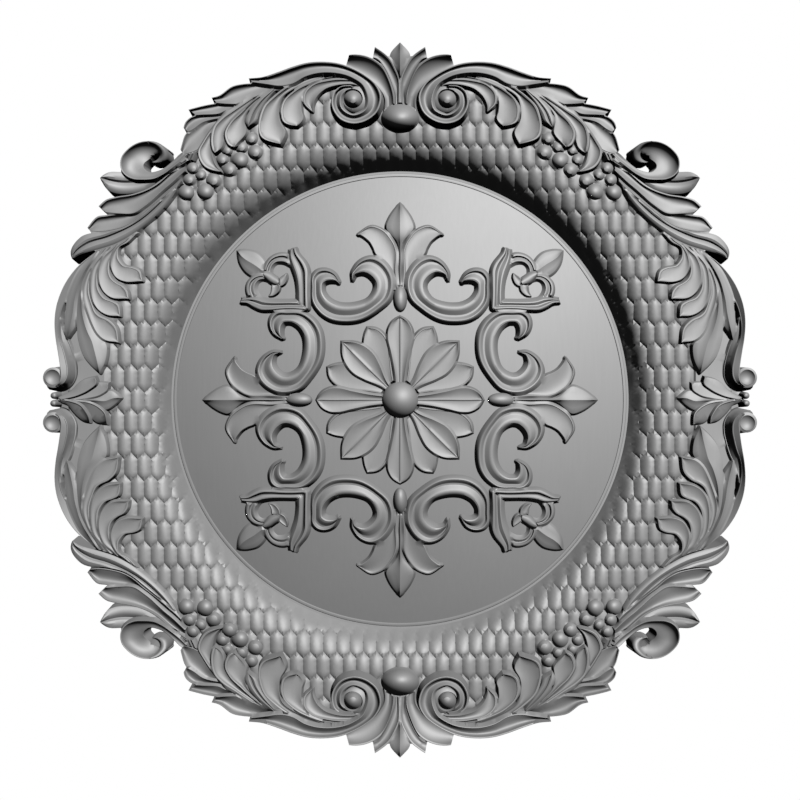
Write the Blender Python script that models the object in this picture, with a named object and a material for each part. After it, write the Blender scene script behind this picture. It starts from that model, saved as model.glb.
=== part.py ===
"""Carved wooden rosette: one solid relief with a flat back, made to be fixed by its back.

The front is a skin of carved forms laid over one another in order, as a carver sees them: a form
nearer the viewer hides what lies under its outline, and its side runs down to whatever is beneath it.
Plan: x to the right, z up, the back in the plane y = 0 and the carving towards -y.

The forms' edges are given on a drawing grid: x to the right, y down, the middle of the rosette at
(400, 400). The drawing is a view from a near eye, so a point's place in millimetres depends on how
high it stands off the back.
"""
import math
from dataclasses import dataclass
from typing import Callable, Optional

import bpy
import numpy as np
from mathutils.bvhtree import BVHTree
from mathutils.geometry import barycentric_transform, delaunay_2d_cdt
from mathutils import Vector

# Drawing grid
GRID_MIDDLE = 400.0
GRID_STEP = 0.8546  # mm per grid unit in the plane of the back
EYE_DISTANCE = 1200.0  # mm from the back to the eye that the drawing is made from

# Disc in the middle, mm
DISC_RADIUS = 190.7
DISC_EDGE_HEIGHT = 8.0
DISC_RISE = 30.0
BEAD_HALF_WIDTH = 1.5
BEAD_HEIGHT = 1.1

# Ring around the disc, mm: a straight slope, an arc over the crest, then a gentle fall
SLOPE_START = 194.0
ARC_START = 204.0
SLOPE_TAN = 1.33
ARC_RADIUS = 28.0
CREST_RADIUS = 226.0
CREST_FALL = 0.04
OUTER_BEND = 262.0
OUTER_FALL = 0.22
RING_EDGE = 267.0
SIDE_HALF_WIDTH = 284.0
SIDE_HALF_HEIGHT = 92.0

# Fish scales on the ring: upright six-sided cells in rows, mm unless grid units are named
CELL_PITCH = 13.3  # grid units between columns
CELL_ROW = 21.9  # grid units between rows
CELL_TIP = 14.5  # grid units from a cell's middle to its points
CELL_SHOULDER = 7.4  # grid units from a cell's middle to the ends of its straight sides
ROW_PHASES = (3.3, -3.1)  # grid units by which even and odd rows stand to the right of the middle
CELL_RISE = 1.3
CELLS_FROM = 200.0
CELLS_TO = 243.0
CELLS_FULL_FROM = 206.0
CELLS_FULL_TO = 234.0

# Sides of the forms, mm
DRAFT = 1.0  # how far a side runs out from top to foot
TOUCH = 1e-3
MERGE = 0.02
FLAT = 0.01  # mm, height that still counts as the plane of the back
FOLD_LIFT = 0.5

TRIANGLES = 10800  # of the whole solid once its nearly flat stretches are thinned out
SHARP_ANGLE = 35.0  # degrees between two faces from which their edge is sharp

# Rings of points on the smooth ground: radius in mm, and how many
RIM_POINTS = 60
DOME_RINGS = ((160.0, 32), (120.0, 24), (80.0, 16))
OUTER_RINGS = ((CELLS_TO + 5.0, 40), (RING_EDGE - 4.0, 40))
CELL_CLEARANCE = 4.0  # mm from the foot of the ring's slope to the nearest corner of a scale

# How the foot of a side and its crossings are found
BORDER_HALVINGS = 12
CROSSING_HALVINGS = 8
CROSSING_GAP = 0.1  # mm, the least distance between a crossing and the ends of its stretch
SHARP_TURN = -0.3  # cosine of the turn from which a corner of the outline gets a blunt foot
LEAST_MITRE = 0.3  # length of the two directions' sum below which the foot is blunt as well
WIDEST_MITRE = 1.3
FOOT_CLEAR = 0.8  # share of the draft that a foot point keeps from its own form
STRIDE = 1.2  # length of a tested stretch of the foot, in drafts

GREY = (0.42, 0.42, 0.42, 1.0)
SATIN_ROUGHNESS = 0.6


def disc_height(radius: float) -> float:
    """Height of the smooth disc with its bead, mm off the back."""
    dome = DISC_EDGE_HEIGHT + DISC_RISE * max(0.0, 1.0 - (radius / DISC_RADIUS) ** 2)
    across = (radius - DISC_RADIUS) / BEAD_HALF_WIDTH
    return dome + BEAD_HEIGHT * max(0.0, 1.0 - across * across)


def ring_height(radius: float) -> float:
    """Height of the ring without its scales, mm off the back."""
    slope_top = DISC_EDGE_HEIGHT + (ARC_START - SLOPE_START) * SLOPE_TAN
    if radius < ARC_START:
        return DISC_EDGE_HEIGHT + max(0.0, radius - SLOPE_START) * SLOPE_TAN
    arc_foot = math.sqrt(ARC_RADIUS**2 - (CREST_RADIUS - ARC_START) ** 2)
    if radius < CREST_RADIUS:
        return slope_top - arc_foot + math.sqrt(ARC_RADIUS**2 - (CREST_RADIUS - radius) ** 2)
    crest = slope_top - arc_foot + ARC_RADIUS
    return crest - (radius - CREST_RADIUS) * CREST_FALL - max(0.0, radius - OUTER_BEND) * OUTER_FALL


def ground_height(x: float, z: float) -> float:
    """Height of the disc or the ring at a place in the plan, mm off the back."""
    radius = math.hypot(x, z)
    return disc_height(radius) if radius < SLOPE_START else ring_height(radius)


def on_ground(x: float, z: float) -> bool:
    """Whether the disc or the ring reaches this place in the plan."""
    return math.hypot(x, z) < RING_EDGE or (abs(x) < SIDE_HALF_WIDTH and abs(z) < SIDE_HALF_HEIGHT)


def placed(grid_x: float, grid_y: float, height: float) -> tuple[float, float]:
    """Plan position in mm of a grid point that stands this high off the back."""
    step = GRID_STEP * (1.0 - height / EYE_DISTANCE)
    return (grid_x - GRID_MIDDLE) * step, (GRID_MIDDLE - grid_y) * step


def placed_over_ground(grid_x: float, grid_y: float, offset: float) -> tuple[float, float, float]:
    """Plan position and height of a grid point that stands this high over the disc or the ring."""
    height = offset
    for _ in range(4):
        x, z = placed(grid_x, grid_y, height)
        height = ground_height(x, z) + offset
    return x, z, height


def curve(points: list, share: np.ndarray, along: np.ndarray) -> np.ndarray:
    """Smooth curve through the points, read at these shares of its length."""
    points = np.asarray(points, float)
    if len(points) == 2:
        return points[0] + (points[1] - points[0]) * share[:, None]
    slopes = np.gradient(points, along, axis=0)
    out = []
    for s in share:
        i = int(np.clip(np.searchsorted(along, s) - 1, 0, len(points) - 2))
        step = along[i + 1] - along[i]
        t = (s - along[i]) / step
        a, b = points[i], points[i + 1]
        ta, tb = slopes[i] * step, slopes[i + 1] * step
        near = a * (2 * t**3 - 3 * t**2 + 1) + ta * (t**3 - 2 * t**2 + t)
        far = b * (3 * t**2 - 2 * t**3) + tb * (t**3 - t**2)
        out.append(near + far)
    return np.array(out)


def chords(points: np.ndarray) -> np.ndarray:
    """Share of the whole length at each point."""
    steps = np.linalg.norm(np.diff(points, axis=0), axis=1)
    total = np.concatenate([[0.0], np.cumsum(steps)])
    return total / total[-1]


# Cross sections: (share of the width from edge a to edge b, share of the form's depth)
HOLLOW = ((0.0, 0.0), (0.5, -1.0), (1.0, 0.0))
KEEL = ((0.0, 0.0), (0.5, 1.0), (1.0, 0.0))
GROOVE = ((0.0, 0.0), (0.25, 0.6), (0.5, -0.6), (0.75, 0.6), (1.0, 0.0))
ROLL = ((0.0, -1.0), (0.2, -0.1), (0.5, 0.0), (0.8, -0.1), (1.0, -1.0))
MOULDED = ((0.0, -0.9), (0.3, 0.0), (0.5, -0.5), (0.8, 0.1), (1.0, -0.8))


@dataclass(frozen=True)
class Form:
    """A carved form between two edges that run from its root to its tip.

    Args:
        edge_a: grid points of the outer or upper edge.
        edge_b: grid points of the other edge; as many as edge_a, or any number.
        tops: height in mm at the root on edge a and b, then at the tip on edge a and b.
        section: cross section.
        depth: depth in mm of the cross section.
        over_ground: whether the heights count from the disc or ring under the form.
        swell: extra height in mm half way along.
        rows: stations along the form.
    """

    edge_a: tuple
    edge_b: tuple
    tops: tuple[float, float, float, float]
    section: tuple = HOLLOW
    depth: float = 2.0
    over_ground: bool = False
    swell: float = 0.0
    rows: int = 8


@dataclass(frozen=True)
class Ball:
    """A rounded form with an oval outline.

    Args:
        middle: grid point.
        half_width: grid units across.
        half_height: grid units up and down.
        base: height in mm of its outline.
        apex: height in mm of its middle.
        over_ground: whether the heights count from the ground under it.
        sides: corners of its outline.
        rings: rings of points between outline and middle.
    """

    middle: tuple[float, float]
    half_width: float
    half_height: float
    base: float
    apex: float
    over_ground: bool = False
    sides: int = 8
    rings: int = 0


class Sheet:
    """The surface of one form as points with heights, and the faces between them."""

    def __init__(self, points: np.ndarray, faces: list, outline: list[int], lines: list) -> None:
        """Keeps the points (x, z, height), the triangles, the closed outline and the inner lines."""
        self.points = points
        self.faces = faces
        self.outline = outline
        self.lines = lines
        self.tree = BVHTree.FromPolygons([(p[0], p[1], 0.0) for p in points], faces)
        self.low = points[:, :2].min(axis=0) - DRAFT
        self.high = points[:, :2].max(axis=0) + DRAFT

    def reach(self, x: float, z: float) -> Optional[tuple[float, float]]:
        """Height of the sheet at its nearest point and the gap to it, or None past the foot of its side."""
        if not (self.low[0] <= x <= self.high[0] and self.low[1] <= z <= self.high[1]):
            return None
        place, _, face, gap = self.tree.find_nearest((x, z, 0.0), DRAFT)
        if place is None:
            return None
        flat = [Vector((self.points[i][0], self.points[i][1], 0.0)) for i in self.faces[face]]
        tall = [Vector((0.0, 0.0, self.points[i][2])) for i in self.faces[face]]
        return barycentric_transform(place, *flat, *tall).z, gap


def form_sheet(form: Form, mirror: Callable) -> Sheet:
    """Surface of a form after the mirroring function has moved its grid points."""
    edge_a = np.array(form.edge_a, float)
    edge_b = np.array(form.edge_b, float)
    along_a, along_b = chords(edge_a), chords(edge_b)
    if len(edge_a) == len(edge_b):
        along_a = along_b = chords((edge_a + edge_b) / 2)
    share = np.linspace(0.0, 1.0, form.rows)
    line_a = curve(edge_a, share, along_a)
    line_b = curve(edge_b, share, along_b)
    root_a, root_b, tip_a, tip_b = form.tops
    pointed = np.linalg.norm(edge_a[-1] - edge_b[-1]) < 1e-6
    points, grid = [], []
    for i, s in enumerate(share):
        row = []
        swell = form.swell * 4 * s * (1 - s)
        for j, (c, dip) in enumerate(form.section):
            if pointed and i == len(share) - 1 and j:
                row.append(row[0])
                continue
            gx, gy = mirror(*(line_a[i] * (1 - c) + line_b[i] * c))
            top = (root_a * (1 - s) + tip_a * s) * (1 - c) + (root_b * (1 - s) + tip_b * s) * c + swell
            if not (pointed and i == len(share) - 1):
                top += form.depth * dip
            if form.over_ground:
                x, z, top = placed_over_ground(gx, gy, top)
            else:
                x, z = placed(gx, gy, top)
            row.append(len(points))
            points.append((x, z, top))
        grid.append(row)
    faces = []
    for i in range(len(grid) - 1):
        for j in range(len(form.section) - 1):
            a, b, c, d = grid[i][j], grid[i][j + 1], grid[i + 1][j + 1], grid[i + 1][j]
            for face in ((a, b, c), (a, c, d)):
                if len(set(face)) == 3:
                    faces.append(face)
    outline = [row[0] for row in grid] + grid[-1][1:-1]
    outline += [row[-1] for row in reversed(grid)] + grid[0][-2:0:-1]
    outline = [v for k, v in enumerate(outline) if v != outline[k - 1]]
    lines = [[row[j] for row in grid] for j in range(1, len(form.section) - 1)]
    return Sheet(np.array(points), faces, outline, lines)


def ball_sheet(ball: Ball, mirror: Callable) -> Sheet:
    """Surface of a ball after the mirroring function has moved its grid points."""
    points, loops = [], []
    for ring in range(ball.rings + 1):
        share = 1.0 - ring / (ball.rings + 1)
        loop = []
        for k in range(ball.sides):
            turn = 2 * math.pi * (k + 0.5) / ball.sides
            gx = ball.middle[0] + ball.half_width * share * math.cos(turn)
            gy = ball.middle[1] + ball.half_height * share * math.sin(turn)
            loop.append(len(points))
            points.append((gx, gy, math.sqrt(1 - share * share)))
        loops.append(loop)
    points.append((ball.middle[0], ball.middle[1], 1.0))
    faces = []
    for outer, inner in zip(loops, loops[1:]):
        for k in range(ball.sides):
            after = (k + 1) % ball.sides
            faces += [(outer[k], outer[after], inner[after]), (outer[k], inner[after], inner[k])]
    faces += [(loops[-1][k], loops[-1][(k + 1) % ball.sides], len(points) - 1) for k in range(ball.sides)]
    placed_points = []
    for gx, gy, rise in points:
        top = ball.base + (ball.apex - ball.base) * rise
        gx, gy = mirror(gx, gy)
        if ball.over_ground:
            placed_points.append(placed_over_ground(gx, gy, top))
        else:
            placed_points.append((*placed(gx, gy, top), top))
    return Sheet(np.array(placed_points), faces, loops[0], [])


# Carving of the upper left quarter, from the back to the front. Edge a is the outer or upper one.
TOP_CENTRE = Form(
    edge_a=((396.5, 106), (396.5, 80), (393, 67), (389.3, 54.9), (400, 41.5)),
    edge_b=((403.5, 106), (403.5, 80), (407, 67), (410.7, 54.9), (400, 41.5)),
    tops=(44, 44, 45, 45),
    section=KEEL,
    depth=2.5,
)
TOP_OUTER = Form(
    edge_a=((384, 112), (384, 98), (378, 88), (362, 76), (344, 66)),
    edge_b=((396, 108), (394, 91), (390, 78.5), (383, 66), (371.4, 57.5), (353.6, 54), (346.6, 54.9)),
    tops=(44, 46, 39, 42),
    depth=2.0,
)
TOP_INNER = Form(
    edge_a=((395, 106), (393.8, 91.2), (389.3, 78.5), (384.2, 68.3), (376.5, 59.3), (370.8, 57.8)),
    edge_b=((399.3, 106), (398.9, 77.2), (395, 67), (389.3, 57.4), (379, 49), (372.7, 45.1)),
    tops=(48, 46, 44, 45),
    depth=1.5,
)
TOP_BALL = Ball((400, 118.5), 18.5, 15, 40, 55, sides=16, rings=2)

LEAF_E = Form(
    edge_a=((240, 108), (220, 112), (203, 120), (193, 127), (185, 134), (181.2, 144.9), (179.2, 153)),
    edge_b=((240, 118), (225, 124), (212, 132), (208, 141), (200, 149), (190, 153.5), (183.8, 154.3)),
    tops=(38, 38, 40, 39),
)
LEAF_D = Form(
    edge_a=(
        (245, 104), (225, 110), (213.9, 113), (200.6, 114.5), (190.4, 116.8), (185.3, 121.4),
        (182.4, 130.1),
    ),
    edge_b=((245, 112), (228, 118), (213.9, 120), (203.7, 123), (193.5, 130), (186.3, 133.7)),
    tops=(37, 37, 39, 38),
)
LEAF_C = Form(
    edge_a=((262, 93), (240, 99), (221, 102), (206.7, 104.5), (193.5, 107.7), (185.5, 110)),
    edge_b=((262, 100), (240, 110), (227.1, 111), (219, 114.3), (203.7, 115.2), (194, 115.8)),
    tops=(37, 36, 40, 39),
)
LEAF_B = Form(
    edge_a=((310, 78), (290, 80), (256.7, 82.6), (241.4, 83.7), (231.2, 86.2), (219, 94.9), (208.8, 97.8)),
    edge_b=((310, 88), (290, 91), (266.9, 92.5), (254.7, 98), (241.4, 104), (228, 104.5), (214.4, 103.3)),
    tops=(36, 35, 42, 40),
)
LEAF_A = Form(
    edge_a=(
        (345, 62), (330, 61.4), (307.8, 62.2), (292.4, 66.3), (277.1, 71.9), (261.8, 76.7), (248.6, 78.1),
    ),
    edge_b=((345, 76), (330, 76), (307.8, 79), (292.4, 85), (285.3, 86.8), (272, 84.2), (252.7, 82.7)),
    tops=(39, 37, 44, 42),
)
LEAF_F = Form(
    edge_a=(
        (241, 102), (222, 114), (210.8, 128.6), (202, 142), (197, 152), (203.7, 167.3), (212.9, 171.4),
        (222, 172),
    ),
    edge_b=((246, 108), (230, 120), (216, 134), (213, 148), (216, 163), (222, 172)),
    tops=(38, 37, 45, 41),
    rows=9,
)
LEAF_G = Form(
    edge_a=(
        (252, 96), (233.3, 108.2), (221, 116.3), (212.9, 125.5), (209.8, 140), (211.5, 150), (213.9, 154.1),
    ),
    edge_b=((252, 104), (239.4, 114), (229, 126), (225, 134), (225, 141.8), (221, 149.5), (213.9, 154.1)),
    tops=(38, 37, 43, 39),
)
LEAF_H = Form(
    edge_a=(
        (272, 88), (251.6, 101), (239.4, 112.2), (228.2, 123.5), (223.6, 133.7), (226, 143.5),
        (233.3, 148.5),
    ),
    edge_b=(
        (272, 92), (256.7, 103), (248, 113.3), (246, 121.4), (247, 127.6), (246.5, 133.7), (233.3, 148.5),
    ),
    tops=(38, 37, 44, 39),
)
LEAF_I = Form(
    edge_a=((273, 88), (256.7, 101), (247.6, 113.3), (245, 121.4), (247.6, 127.6)),
    edge_b=((275, 92), (266, 104), (260, 114), (256.2, 122.4), (247.6, 127.6)),
    tops=(39, 38, 41, 40),
    section=GROOVE,
    depth=1.0,
)
LEAF_J = Form(
    edge_a=(
        (340, 73), (307.8, 75), (292.4, 81.6), (272, 95.9), (261.8, 107.1), (257.2, 126), (262, 139),
        (281.2, 145),
    ),
    edge_b=(
        (340, 80), (312, 82), (292.4, 91), (282.2, 101), (280, 113.3), (281.5, 122), (286.5, 133),
        (281.2, 145),
    ),
    tops=(40, 38, 48, 44),
    depth=3.0,
    rows=10,
)
LEAF_K = Form(
    edge_a=(
        (345, 74), (325, 77), (307.8, 82.7), (292.4, 90.8), (282.2, 101), (279.7, 114), (285, 124),
        (297.6, 127),
    ),
    edge_b=(
        (345, 80), (330, 80.6), (318, 85.7), (307, 93), (302.5, 101), (302.7, 111), (303.7, 120),
        (297.6, 127),
    ),
    tops=(40, 38, 45, 41),
    depth=2.5,
)
LEAF_L = Form(
    edge_a=(
        (358, 78), (340, 78.3), (325.5, 79.7), (310.2, 84.8), (302.6, 93.8), (303, 104), (313.4, 112.9),
    ),
    edge_b=((358, 86), (346, 85.3), (337, 86), (325.5, 90), (318, 97), (314.5, 104), (313.4, 112.9)),
    tops=(42, 43, 39, 39),
    depth=1.5,
)
VOLUTE = Form(
    edge_a=(
        (326, 61.4), (344, 64.4), (363.8, 74), (376.5, 84.8), (381.6, 98.9), (376.5, 113), (366, 121),
        (352.9, 123.8), (339.5, 119), (332.5, 109), (331.3, 99.5), (334, 91), (341, 86), (351, 85),
    ),
    edge_b=(
        (326, 79.7), (351, 80), (361, 84.5), (368, 91), (370.2, 99.5), (367.5, 108.5), (361, 113),
        (352.9, 114.4), (345.5, 111), (341.5, 106), (340.8, 99.5), (342, 95.5), (345.5, 92.5), (351, 91.5),
    ),
    tops=(44, 42, 50, 47),
    depth=3.0,
    swell=4.0,
    rows=22,
)
VOLUTE_EYE = Ball((352.9, 99.5), 9, 9, 40, 49, sides=10, rings=1)

SCROLL_LEAF_4 = Form(
    edge_a=(
        (192, 148), (175, 182), (160, 196), (131.4, 219), (100.8, 230.5), (80, 237), (70.2, 252.4),
        (71.7, 260),
    ),
    edge_b=(
        (201, 148), (192, 166), (183.4, 181), (172.2, 200.4), (146.7, 226), (116.1, 245.3), (100.8, 250.4),
        (80.4, 256), (71.7, 260),
    ),
    tops=(42, 42, 30, 31),
    section=GROOVE,
    depth=1.5,
    swell=2.0,
)
SCROLL_LEAF_3 = Form(
    edge_a=((188, 165), (172, 180), (146.7, 202), (133.5, 211), (105.9, 214.7), (95.7, 217.2), (86, 229)),
    edge_b=((188, 175), (175, 189), (162, 199), (131.4, 223.8), (116.1, 230.5), (100.8, 233), (89.6, 232)),
    tops=(40, 42, 33, 35),
)
SCROLL_LEAF_2 = Form(
    edge_a=(
        (187, 160), (172.2, 170), (151.8, 186), (131.4, 194), (116.1, 196.5), (105.9, 199.4), (97.2, 207),
    ),
    edge_b=(
        (187, 170), (172, 184), (162, 193), (146.7, 206.5), (133.5, 214.5), (121.2, 214.7), (105.4, 213.2),
    ),
    tops=(40, 42, 36, 38),
)
SCROLL_LEAF_1 = Form(
    edge_a=((186, 158), (172, 167), (150, 174), (131, 172), (120.2, 171), (107, 172), (98.8, 177.4)),
    edge_b=(
        (186, 164), (175.3, 170.8), (162, 183), (141.6, 194), (114.1, 195), (103.9, 188.2), (98.8, 177.4),
    ),
    tops=(41, 42, 39, 39),
    section=GROOVE,
    depth=1.5,
)
SCROLL = Form(
    edge_a=(
        (191, 150), (182.4, 159.6), (172.2, 167.8), (162, 174.9), (151.8, 179), (141.6, 179.5), (133.5, 179),
        (126.3, 175.9), (121.7, 170.8), (120.2, 164.7), (121.2, 157.6), (127.3, 149.4), (137.6, 142.8),
        (147.8, 141), (158, 142.8), (166.1, 148.4),
    ),
    edge_b=(
        (188, 148), (179.4, 154.5), (172.2, 161.6), (162, 169.3), (151.8, 172.3), (148, 171.6), (145.7, 170),
        (144.3, 168.5), (143.7, 167), (143.6, 165.5), (144.2, 164), (145.5, 162.5), (147.5, 161),
        (149.5, 159.5), (151, 158), (152, 156.5),
    ),
    tops=(41, 40, 46, 42),
    depth=3.5,
    rows=20,
)
SCROLL_BULB = Ball((160.5, 157.2), 8.6, 8.8, 42, 49, sides=10, rings=1)

SIDE_PLATE = Form(
    edge_a=((84, 246), (72, 254), (64, 268), (61, 290)),
    edge_b=((120, 246), (110, 256), (104, 270), (100, 290)),
    tops=(24, 28, 24, 28),
    depth=0.5,
    rows=4,
)
SIDE_STEM = Form(
    edge_a=((100, 248), (89.6, 256.1), (80.6, 263.2), (71.7, 273), (62.8, 287.3), (56.5, 304.3), (54.3, 320.4),
            (55.2, 338.2), (57.4, 351.6), (58.8, 364)),
    edge_b=((104, 254), (95, 263), (86, 275), (78, 287), (71, 299), (67.5, 311), (66, 325),
            (66, 340), (66.4, 352), (67, 364)),
    tops=(33, 32, 42, 42),
    depth=1.5,
    rows=10,
)
SIDE_LEAF_6 = Form(
    edge_a=(
        (98, 250), (89.6, 258), (78.9, 269.5), (71.7, 283), (66.4, 298), (64.6, 311), (63.7, 329),
        (66.8, 339.6),
    ),
    edge_b=(
        (104, 252), (96, 262), (90, 274), (86, 287), (83.5, 300), (81.5, 314), (75.3, 329.3), (66.8, 339.6),
    ),
    tops=(34, 34, 30, 30),
    section=KEEL,
    depth=2.0,
)
SIDE_LEAF_5 = Form(
    edge_a=(
        (92, 262), (80, 285), (76, 310), (76.2, 329.3), (77.1, 340), (81.5, 354.3), (89.6, 365),
        (99.8, 374.4),
    ),
    edge_b=(
        (98, 264), (88, 285), (88, 310), (98, 332), (107, 343), (108.5, 350), (106, 363), (99.8, 374.4),
    ),
    tops=(34, 34, 36, 36),
    section=KEEL,
    depth=2.5,
)
SIDE_LEAF_4 = Form(
    edge_a=(
        (98, 256), (86, 275), (82, 290), (83.3, 301.6), (90.5, 323), (97, 335), (105, 341.2), (119, 343.1),
    ),
    edge_b=(
        (102, 258), (92, 275), (90, 292), (94, 307), (100.3, 315), (110.1, 320), (117, 328), (119, 343.1),
    ),
    tops=(34, 33, 41, 35),
)
SIDE_LEAF_3 = Form(
    edge_a=(
        (104, 252), (92.3, 266.8), (89.6, 280.2), (90, 293.6), (93.1, 304.3), (98.5, 311.4), (107.4, 316),
        (120.8, 316.8),
    ),
    edge_b=(
        (110, 254), (100, 268), (98.5, 280), (100, 290), (106, 298), (114, 301), (119.5, 305),
        (120.8, 316.8),
    ),
    tops=(34, 33, 40, 35),
)
SIDE_LEAF_2 = Form(
    edge_a=(
        (112, 248), (103, 256.1), (98.5, 266.8), (97.6, 278.4), (99.4, 286.4), (103.9, 293.6), (112, 298.6),
        (129.3, 298.9),
    ),
    edge_b=(
        (118, 250), (111, 262), (110, 271), (113, 279), (118, 283), (124, 286), (128, 291), (129.3, 298.9),
    ),
    tops=(34, 33, 40, 35),
)
SIDE_LEAF_1 = Form(
    edge_a=(
        (125, 240), (116.4, 247.1), (111.9, 253.4), (109.7, 264.1), (111, 271.3), (115.5, 278.4),
        (125, 282.4), (143.1, 281.5),
    ),
    edge_b=(
        (128, 243), (119.5, 248), (118.6, 254.3), (120.8, 260.5), (125.3, 265.4), (134, 267),
        (140.5, 270.4), (143.1, 281.5),
    ),
    tops=(36, 35, 40, 36),
)
SIDE_WRAP = Form(
    edge_a=((58.8, 352), (61, 363), (63.5, 371), (64.5, 378), (62, 385), (55, 388.5), (47, 387)),
    edge_b=((68, 345), (75, 360), (78, 370), (77.5, 380), (72, 388), (62.8, 392.5), (50, 390)),
    tops=(42, 36, 42, 38),
    section=ROLL,
    depth=2.0,
    rows=8,
)
SIDE_CURL = Ball((53.7, 378.2), 9.8, 9.8, 41, 45, sides=12, rings=1)

BERRIES = (
    (251.5, 139.1, 6.5), (255.3, 152.5, 7.6), (241.5, 147.5, 6.6), (240, 160.5, 8.3), (227.3, 150.6, 5.8),
    (222.4, 160.1, 6.1), (229.6, 170.1, 7.3), (213.6, 180.8, 7.7), (205.2, 191.9, 8.3), (186.4, 192.7, 8.1),
    (189.5, 180, 6.3), (200.9, 175.1, 5.7), (192.9, 168.5, 6.1),
)
BERRY_BASE = 2.0  # mm over the ring
BERRY_RISE = 0.75  # mm per grid unit of radius

# Small palmette at the left, both its sides
PALMETTE_BALLS = (Ball((53.9, 395.6), 3.4, 3.4, 30, 33), Ball((53.6, 403.4), 3.4, 3.4, 30, 33))
PALMETTE_UPPER_OUTER = Form(
    edge_a=((58, 397), (70, 391), (78, 383), (86, 378.5), (95.4, 376.4)),
    edge_b=((62, 400), (78, 396), (90, 390), (97, 383), (95.4, 376.4)),
    tops=(34, 33, 37, 36),
    section=GROOVE,
    depth=0.8,
)
PALMETTE_LOWER_OUTER = Form(
    edge_a=((58, 402), (70, 409), (78, 417), (84, 422), (89.1, 423.8)),
    edge_b=((62, 400), (80, 405), (90, 410), (95, 417), (89.1, 423.8)),
    tops=(34, 33, 37, 36),
    section=GROOVE,
    depth=0.8,
)
PALMETTE_UPPER_INNER = Form(
    edge_a=((66, 399), (82, 392), (94, 384.5), (100, 382), (108.8, 382.7)),
    edge_b=((66, 401), (88, 399), (102, 395), (108, 390), (108.8, 382.7)),
    tops=(35, 35, 38, 37),
    section=GROOVE,
    depth=0.8,
)
PALMETTE_LOWER_INNER = Form(
    edge_a=((66, 401), (80, 410), (92, 419), (98, 423.5), (106.1, 424.6)),
    edge_b=((66, 400), (88, 402), (102, 406), (108, 414), (106.1, 424.6)),
    tops=(35, 35, 38, 37),
    section=GROOVE,
    depth=0.8,
)
PALMETTE_CENTRE = Form(
    edge_a=((58, 398.5), (80, 399), (98.5, 396), (106, 391), (113, 390.5), (122.2, 398)),
    edge_b=((58, 401.5), (80, 402), (92, 405), (104.8, 410.8), (114, 406), (122.2, 398)),
    tops=(35, 35, 38, 38),
    section=KEEL,
    depth=1.5,
)

# Medallion: heights over the disc
BACK_PETAL = Form(
    edge_a=(
        (394.4, 379.6), (392.8, 368.8), (391.1, 352.5), (389, 341.7), (384.6, 333.6), (376.5, 327.9),
        (366.7, 326.8),
    ),
    edge_b=((383, 388), (372, 372), (365, 360), (362, 350), (362.4, 342.2), (364, 334), (366.7, 326.8)),
    tops=(6, 6, 7, 7),
    depth=1.0,
    over_ground=True,
)
DIAGONAL_PETAL = Form(
    edge_a=(
        (388, 393), (381, 388), (362.9, 380.2), (353.2, 374.8), (345.6, 366.1), (341.3, 355.2), (341, 341),
    ),
    edge_b=(
        (393, 388), (388, 381), (380.2, 362.9), (374.8, 353.2), (366.1, 345.6), (355.2, 341.3), (341, 341),
    ),
    tops=(7, 7, 9, 9),
    section=HOLLOW,
    depth=1.8,
    over_ground=True,
)
AXIS_PETAL = Form(
    edge_a=((395, 387), (393, 370), (389.5, 352), (386.5, 338), (387.5, 328), (393, 320), (400, 315.5)),
    edge_b=((405, 387), (407, 370), (410.5, 352), (413.5, 338), (412.5, 328), (407, 320), (400, 315.5)),
    tops=(9, 9, 10, 10),
    section=KEEL,
    depth=1.8,
    over_ground=True,
)
FLOWER_BALL = Ball((400, 400), 17.2, 17.2, 10, 20, over_ground=True, sides=18, rings=2)
PALMETTE_TALL = Form(
    edge_a=(
        (398.7, 290), (397.5, 261.3), (396.2, 243.1), (384.6, 227.3), (387.1, 219), (392.9, 209.9),
        (400, 202),
    ),
    edge_b=(
        (401.3, 290), (402.5, 261.3), (403.8, 243.1), (415.4, 227.3), (412.9, 219), (407.1, 209.9),
        (400, 202),
    ),
    tops=(6, 6, 6, 6),
    section=KEEL,
    depth=1.5,
    over_ground=True,
)
PALMETTE_SIDE = Form(
    edge_a=(
        (399, 290), (397.5, 269.6), (397, 248.1), (392.9, 238.9), (386.3, 230.7), (379.6, 226.5),
        (371.3, 224.9), (356.4, 234.8),
    ),
    edge_b=(
        (394, 290), (388, 274), (380, 262), (374, 253.9), (372.2, 248.9), (368.8, 243.1), (363, 238.1),
        (356.4, 234.8),
    ),
    tops=(7, 7, 7, 7),
    depth=1.0,
    over_ground=True,
)
TEARDROP = Ball((400, 299), 6.2, 12, 7, 12, over_ground=True, sides=10)
C_SCROLL = Form(
    edge_a=(
        (352, 280), (350.6, 272.1), (353.9, 263.8), (361.4, 257.2), (371.3, 254.3), (379.6, 256.4), (387.9, 263),
        (394.6, 274.6), (395.8, 286.2), (392.1, 299.5), (379.6, 311.9), (363, 321.9), (346.5, 324.8), (328.2, 321.9),
        (317.4, 314.4), (310, 302.8), (309.1, 286.2), (310, 274.6), (315, 268.8), (324.9, 267), (333.2, 270.5),
        (339.5, 282),
    ),
    edge_b=(
        (353, 278.5), (356.4, 275.8), (360, 275), (363, 275), (366.5, 276.3), (369.7, 278.7), (372, 281.5),
        (373.2, 284), (373.4, 287.5), (371.5, 292.5), (367, 297.8), (359, 301.2), (348, 302.9), (337, 301.6),
        (330, 297.8), (326, 293), (324.5, 288.5), (325.2, 284.8), (328, 283.2), (331.5, 282.8), (334.5, 283),
        (338.5, 283.7),
    ),
    tops=(7, 7, 7, 7),
    section=MOULDED,
    depth=2.5,
    over_ground=True,
    swell=1.5,
    rows=26,
)
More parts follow.
